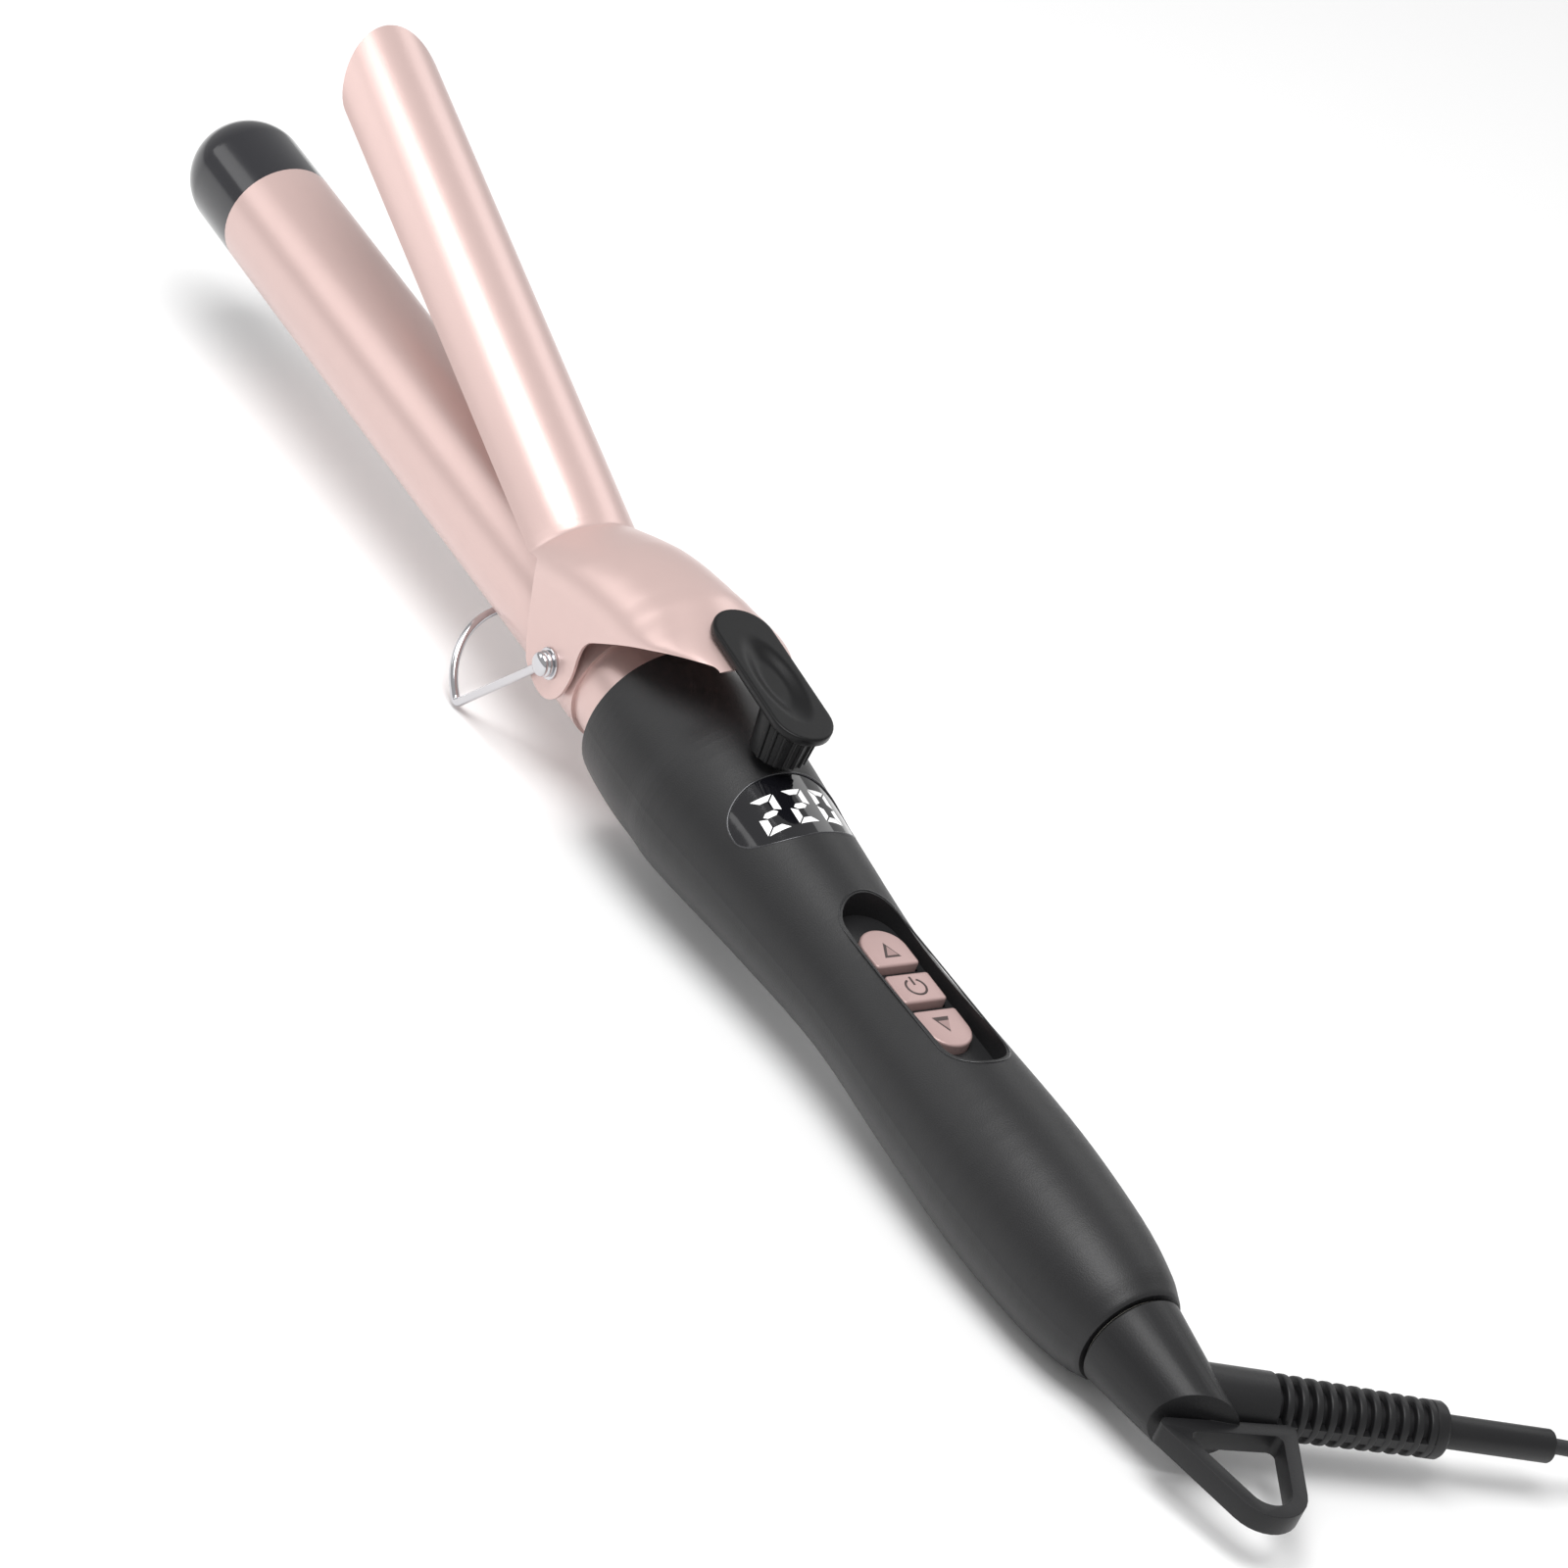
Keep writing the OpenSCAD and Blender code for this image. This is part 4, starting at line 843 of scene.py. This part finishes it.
def addPad():
    p = padSet
    half, edge, thick = p["width"] / 2, p["edge"], p["thick"]
    levels = [(p["under"], 0), (0, p["under"]), (0, thick - edge)]
    for degrees in (30, 60, 90):
        a = math.radians(degrees)
        levels.append((edge * (1 - math.cos(a)), thick - edge * (1 - math.sin(a))))
    for i in range(1, p["inward"] + 1):
        levels.append((blend(edge, half - p["crest"], i / p["inward"]), thick))
    points, faces = [], []
    for inset, z in levels:
        for x, y in padRing(inset):
            e = math.hypot((x - p["dishMiddle"]) / p["dishHalf"][0], y / p["dishHalf"][1])
            dip = p["depth"] * smooth((p["dishReach"] - e) / p["dishEase"]) if z >= thick else 0
            points.append((x, y, z - dip))
    n = len(points) // len(levels)
    for k in range(len(levels) - 1):
        faces += [(k * n + i, k * n + (i + 1) % n, (k + 1) * n + (i + 1) % n, (k + 1) * n + i)
                  for i in range(n)]
    faces.append(tuple(range(n - 1, -1, -1)))
    last, turn = (len(levels) - 1) * n, p["around"]
    for i in range(turn // 2, turn // 2 + turn + p["straight"]):
        face = [last + j % n for j in (i, i + 1, turn - 1 - i, turn - i)]
        faces.append(tuple(dict.fromkeys(face)))
    pad = tidy(addMesh("thumbPad", points, faces), 1e-4)
    pad.data.set_sharp_from_angle(angle=math.radians(p["sharpAngle"]))
    lean = Matrix.Rotation(-math.radians(p["tilt"]), 4, "Y")
    seat = Matrix.Translation((p["front"][0], 0, p["front"][1])) @ lean
    keep(place(pad, clampFrame @ seat), "clamp", padBlack, "matte_black", "thumb_pad")


def makePostTree():
    # a tapered core with slim upright ribs standing around its rear
    tree, given = newTree("ribbedPost", ("Low", "Float"), ("High", "Float"), ("Height", "Float"),
                          ("Ribs", "Int"), ("Rib Radius", "Float"), ("Spread", "Float"),
                          ("Material", "Material"))
    core = tree.nodes.new("GeometryNodeMeshCone")
    core.inputs["Vertices"].default_value = 72
    for label, source in (("Radius Bottom", "Low"), ("Radius Top", "High"), ("Depth", "Height")):
        tree.links.new(given[source], core.inputs[label])

    def maths(kind, a, b=0.0):
        node = tree.nodes.new("ShaderNodeMath")
        node.operation = kind
        for socket, value in zip(node.inputs, (a, b)):
            if isinstance(value, bpy.types.NodeSocket):
                tree.links.new(value, socket)
            else:
                socket.default_value = value
        return node.outputs[0]

    count = maths("SUBTRACT", given["Ribs"], 1.0)
    stepAngle = maths("DIVIDE", maths("MULTIPLY", given["Spread"], 2.0), count)
    index = tree.nodes.new("GeometryNodeInputIndex").outputs[0]
    angle = maths("SUBTRACT", maths("MULTIPLY", index, stepAngle), given["Spread"])
    widening = maths("SUBTRACT", given["High"], given["Low"])
    slope = maths("ARCTANGENT", maths("DIVIDE", widening, given["Height"]))
    middleR = maths("MULTIPLY", maths("ADD", given["High"], given["Low"]), 0.5)
    spots = step(tree, "GeometryNodePoints", {"Count": given["Ribs"]})
    spotPlace = step(tree, "ShaderNodeCombineXYZ", {
        "X": maths("MULTIPLY", maths("COSINE", angle), middleR),
        "Y": maths("MULTIPLY", maths("SINE", angle), middleR),
        "Z": maths("MULTIPLY", given["Height"], 0.5)})
    spots = step(tree, "GeometryNodeSetPosition", {"Geometry": spots, "Position": spotPlace})
    turn = step(tree, "ShaderNodeCombineXYZ", {"Y": slope, "Z": angle})
    ribLength = maths("SUBTRACT", given["Height"], 0.3)
    rib = step(tree, "GeometryNodeMeshCylinder",
               {"Vertices": 16, "Radius": given["Rib Radius"], "Depth": ribLength})
    ribs = step(tree, "GeometryNodeInstanceOnPoints", {"Points": spots, "Instance": rib, "Rotation": turn})
    return closeTree(tree, given, core.outputs[0], ribs)


def addPost():
    p = postSet
    post = runTree(polyline("gripPost", [(0, 0, 0)]), makePostTree(), Low=p["low"], High=p["high"],
                   Height=p["height"], Ribs=p["ribs"], Spread=math.radians(p["spread"]), Material=padBlack,
                   **{"Rib Radius": p["ribRadius"]})
    post.data.shade_smooth()
    post.data.set_sharp_from_angle(angle=math.radians(35))
    place(post, ironFrame @ Matrix.Translation((p["x"], 0, p["foot"])))
    ownFinish(post, "clamp", "matte_black", "grip_post")


addPad()
addPost()
print("thumb lever made")


# wire stand: one bent wire with an eye round each pivot screw; screw heads with a washer under each
standSet = dict(wire=0.9, legY=15.5, legLength=32.98, lean=38.6, rise=42.76, foot=18, eye=1.75, bend=1.6,
                bendSteps=6, footSteps=48, eyeSteps=40, eyeWire=0.82)
# along the screw: shaft's start, washer's two faces, head's seat; then the radii and the dome
headSet = dict(shaft=11.3, washerIn=14.5, washerOut=15.0, seat=16.25, shaftRadius=1.6, washerRadius=3.1,
               headRadius=2.35, headRim=2.3, lift=0.2, dome=1.15, domeSteps=8, chamfer=0.15)


def addStand():
    s = standSet
    lean, rise = math.radians(s["lean"]), math.radians(s["rise"])
    corner = Vector((-s["legLength"] * math.sin(lean), 0, -s["legLength"] * math.cos(lean)))
    along = Vector((-math.cos(rise), 0, math.sin(rise)))
    down = corner.normalized()
    # one leg, from its eye to where the foot starts
    side = [down * s["eye"], down * (s["legLength"] - s["bend"])]
    for i in range(1, s["bendSteps"]):
        t = i / s["bendSteps"]
        a, b, c = corner - down * s["bend"], corner, corner + along * s["bend"]
        side.append(a * (1 - t) ** 2 + b * 2 * t * (1 - t) + c * t * t)
    side.append(corner + along * s["bend"])
    right = [p + Vector((0, s["legY"], 0)) for p in side]
    arc = []
    for i in range(1, s["footSteps"]):
        a = math.pi * i / s["footSteps"]
        arc.append(corner + along * (s["foot"] - s["legY"] + s["legY"] * math.sin(a))
                   + Vector((0, s["legY"] * math.cos(a), 0)))
    left = [Vector((p.x, -p.y, p.z)) for p in right[::-1]]
    pieces = [tubeAlong("standWire", right + arc + left, s["wire"], chromeSteel, 24)]
    for y in (-s["legY"], s["legY"]):
        eye = []
        for i in range(s["eyeSteps"]):
            a = 2 * math.pi * i / s["eyeSteps"]
            eye.append((s["eye"] * math.cos(a), y, s["eye"] * math.sin(a)))
        pieces.append(tubeAlong("standEye", eye, s["eyeWire"], chromeSteel, 16, closed=True))
    stand = joined("wireStandBent", pieces)
    ownFinish(place(stand, ironFrame), "stand", "chrome", "wire_stand")


def addHeads():
    h = headSet
    thin, wide, cut = h["shaftRadius"], h["washerRadius"], h["chamfer"]
    profile = [(h["shaft"], 0), (h["shaft"], thin), (h["washerIn"], thin), (h["washerIn"], wide - cut),
               (h["washerIn"] + cut, wide), (h["washerOut"] - cut, wide), (h["washerOut"], wide - cut),
               (h["washerOut"], thin), (h["seat"], thin), (h["seat"], h["headRim"])]
    for i in range(h["domeSteps"] + 1):
        a = math.radians(90 * i / h["domeSteps"])
        profile.append((h["seat"] + h["lift"] + h["dome"] * math.sin(a), h["headRadius"] * math.cos(a)))
    screws = []
    for way in (1, -1):
        screw = lathe("screwHead", profile, 64, 40)
        screws.append(wear(place(screw, Matrix.Rotation(math.radians(90 * way), 4, "Z")), chromeSteel))
    ownFinish(place(joined("pivotHeads", screws), ironFrame), "iron", "chrome", "pivot_screws")


addStand()
addHeads()
print("stand made")


# swivel with soft edges, ribbed strain relief
reliefSet = dict(exitX=193.2, turn=67.7, stub=17.3, length=31.9, sleeve=20.8, front=5.5, end=4.9, ribs=11,
                 core=3.7, collar=2.6, share=0.5, sleeveRadius=2.9, root=8, rootRadius=3.25,
                 ribWide=2.6, ribSoft=0.3, stripHalf=0.9, stripIn=0.5)


def makeReliefTree():
    # round ribs in a row, each a little smaller, on a core along the same line
    tree, given = newTree("ribRow", ("Ribs", "Int"), ("Rib Radius", "Float"), ("End Share", "Float"),
                          ("Rib Length", "Float"), ("Core Radius", "Float"), ("Material", "Material"))
    path = step(tree, "GeometryNodeMeshToCurve", {"Mesh": given["Shape"]})
    spots = step(tree, "GeometryNodeResampleCurve", {"Curve": path, "Count": given["Ribs"]})
    ringPath = step(tree, "GeometryNodeCurvePrimitiveCircle",
                    {"Resolution": 56, "Radius": given["Rib Radius"]})
    section = step(tree, "GeometryNodeCurvePrimitiveQuadrilateral",
                   {"Width": reliefSet["ribWide"], "Height": given["Rib Length"]})
    section = step(tree, "GeometryNodeFilletCurve",
                   {"Curve": section, "Radius": reliefSet["ribSoft"], "Count": 3, "Limit Radius": True},
                   mode="POLY")
    rib = step(tree, "GeometryNodeCurveToMesh", {"Curve": ringPath, "Profile Curve": section})
    factor = tree.nodes.new("GeometryNodeSplineParameter").outputs["Factor"]
    size = step(tree, "ShaderNodeMapRange", {"Value": factor, "To Min": 1.0, "To Max": given["End Share"]})
    scale = step(tree, "ShaderNodeCombineXYZ", {"X": size, "Y": size, "Z": 1.0})
    ribs = step(tree, "GeometryNodeInstanceOnPoints", {"Points": spots, "Instance": rib, "Scale": scale})
    circle = step(tree, "GeometryNodeCurvePrimitiveCircle",
                  {"Resolution": 48, "Radius": given["Core Radius"]})
    core = step(tree, "GeometryNodeCurveToMesh", {"Curve": path, "Profile Curve": circle, "Fill Caps": True})
    return closeTree(tree, given, ribs, core)


def addStrip(turn, start, finish, reachStart, reachFinish):
    # a bar that runs past the ribs between the slots
    r = reliefSet
    c, s = math.cos(math.radians(turn)), math.sin(math.radians(turn))
    half, low = r["stripHalf"], r["core"] - r["stripIn"]
    points = []
    for z, reach in ((start, reachStart), (finish, reachFinish)):
        for across, out in ((-half, reach), (half, reach), (half, low), (-half, low)):
            points.append((out * c - across * s, out * s + across * c, z))
    faces = [(0, 1, 2, 3), (7, 6, 5, 4)]
    faces += [(i, 4 + i, 4 + (i + 1) % 4, (i + 1) % 4) for i in range(4)]
    return tidy(addMesh("reliefStrip", points, faces, False), 1e-5)


def addRelief():
    r = reliefSet
    a, b = r["stub"], r["stub"] + r["length"]
    pitch = (r["length"] - r["collar"]) / r["ribs"]
    ribLength = pitch * (1 - r["share"])
    first, last = a + pitch - ribLength / 2, b - r["collar"] - ribLength / 2
    ribs = runTree(polyline("reliefRibs", [(0, 0, first), (0, 0, last)]), makeReliefTree(), Ribs=r["ribs"],
                   Material=swivelBlack,
                   **{"Rib Radius": r["front"] - r["ribWide"] / 2, "End Share": r["end"] / r["front"],
                      "Rib Length": ribLength, "Core Radius": r["core"]})
    collar, tail, sleeve, end = b - r["collar"], b + r["sleeve"], r["sleeveRadius"], r["end"]
    body = [(a - r["root"], 0), (a - r["root"], r["rootRadius"]), (a, r["rootRadius"]), (a, r["core"]),
            (collar, r["core"]), (collar, end - 0.2), (collar + 0.2, end), (b - 0.7, end),
            (b - 0.2, end - 0.3), (b, end - 0.8), (b + 0.1, sleeve),
            (tail - 0.5, sleeve), (tail - 0.15, sleeve - 0.2), (tail, sleeve - 0.5), (tail, 0)]
    core = place(lathe("reliefBody", body, 64, 40), Matrix.Rotation(math.radians(-90), 4, "Y"))
    strips = [addStrip(turn, a + 0.4, b - 1, r["front"] - 0.17, end - 0.15) for turn in (90, 270)]
    relief = joined("reliefRibbed", [wear(piece, swivelBlack) for piece in (core, ribs, *strips)])
    wear(relief, swivelBlack)
    for face in relief.data.polygons:
        face.material_index = 0
        face.use_smooth = True
    relief.data.set_sharp_from_angle(angle=math.radians(40))
    out = (ironFrame @ Matrix.Translation((r["exitX"], 0, 0))
           @ Matrix.Rotation(math.radians(r["turn"]), 4, "Z") @ Matrix.Rotation(math.radians(90), 4, "Y"))
    ownFinish(place(relief, out), "swivel", "matte_black", "strain_relief")


addRelief()
softened("swivel_body", "swivel", swivelBlack, "matte_black", 0.5)
print("swivel made")


# floor and light
def addStage():
    bpy.ops.mesh.primitive_plane_add(size=4, location=(0, 0, 0))
    floor = bpy.context.object
    floor.name = "floor"
    floorPale = newMaterial("floorPale", (0.94, 0.94, 0.94), 0.7)
    grain(floorPale, 300, 0.02, 0.0005, 0.02)
    wear(floor, floorPale)


def addLight(name, energy, size, fromPlace, toPlace=(0, 0, 0.02)):
    data = bpy.data.lights.new(name, "AREA")
    data.energy = energy
    data.shape = "RECTANGLE"
    data.size, data.size_y = size
    obj = bpy.data.objects.new(name, data)
    bpy.context.scene.collection.objects.link(obj)
    obj.location = fromPlace
    obj.rotation_euler = (Vector(toPlace) - Vector(fromPlace)).to_track_quat("-Z", "Y").to_euler()
    return obj


addStage()
addLight("keyLight", 11, (0.9, 0.6), (0.1, -0.3, 1.1))
addLight("sideLight", 1.5, (0.6, 0.6), (-0.7, -0.7, 0.6))
addLight("backLight", 1.5, (0.8, 0.5), (-0.3, 0.9, 0.7))
world = bpy.data.worlds.new("world")
world.use_nodes = True
world.node_tree.nodes["Background"].inputs["Color"].default_value = (1, 1, 1, 1)
world.node_tree.nodes["Background"].inputs["Strength"].default_value = 0.5
bpy.context.scene.world = world
bpy.context.scene.view_settings.view_transform = "Standard"
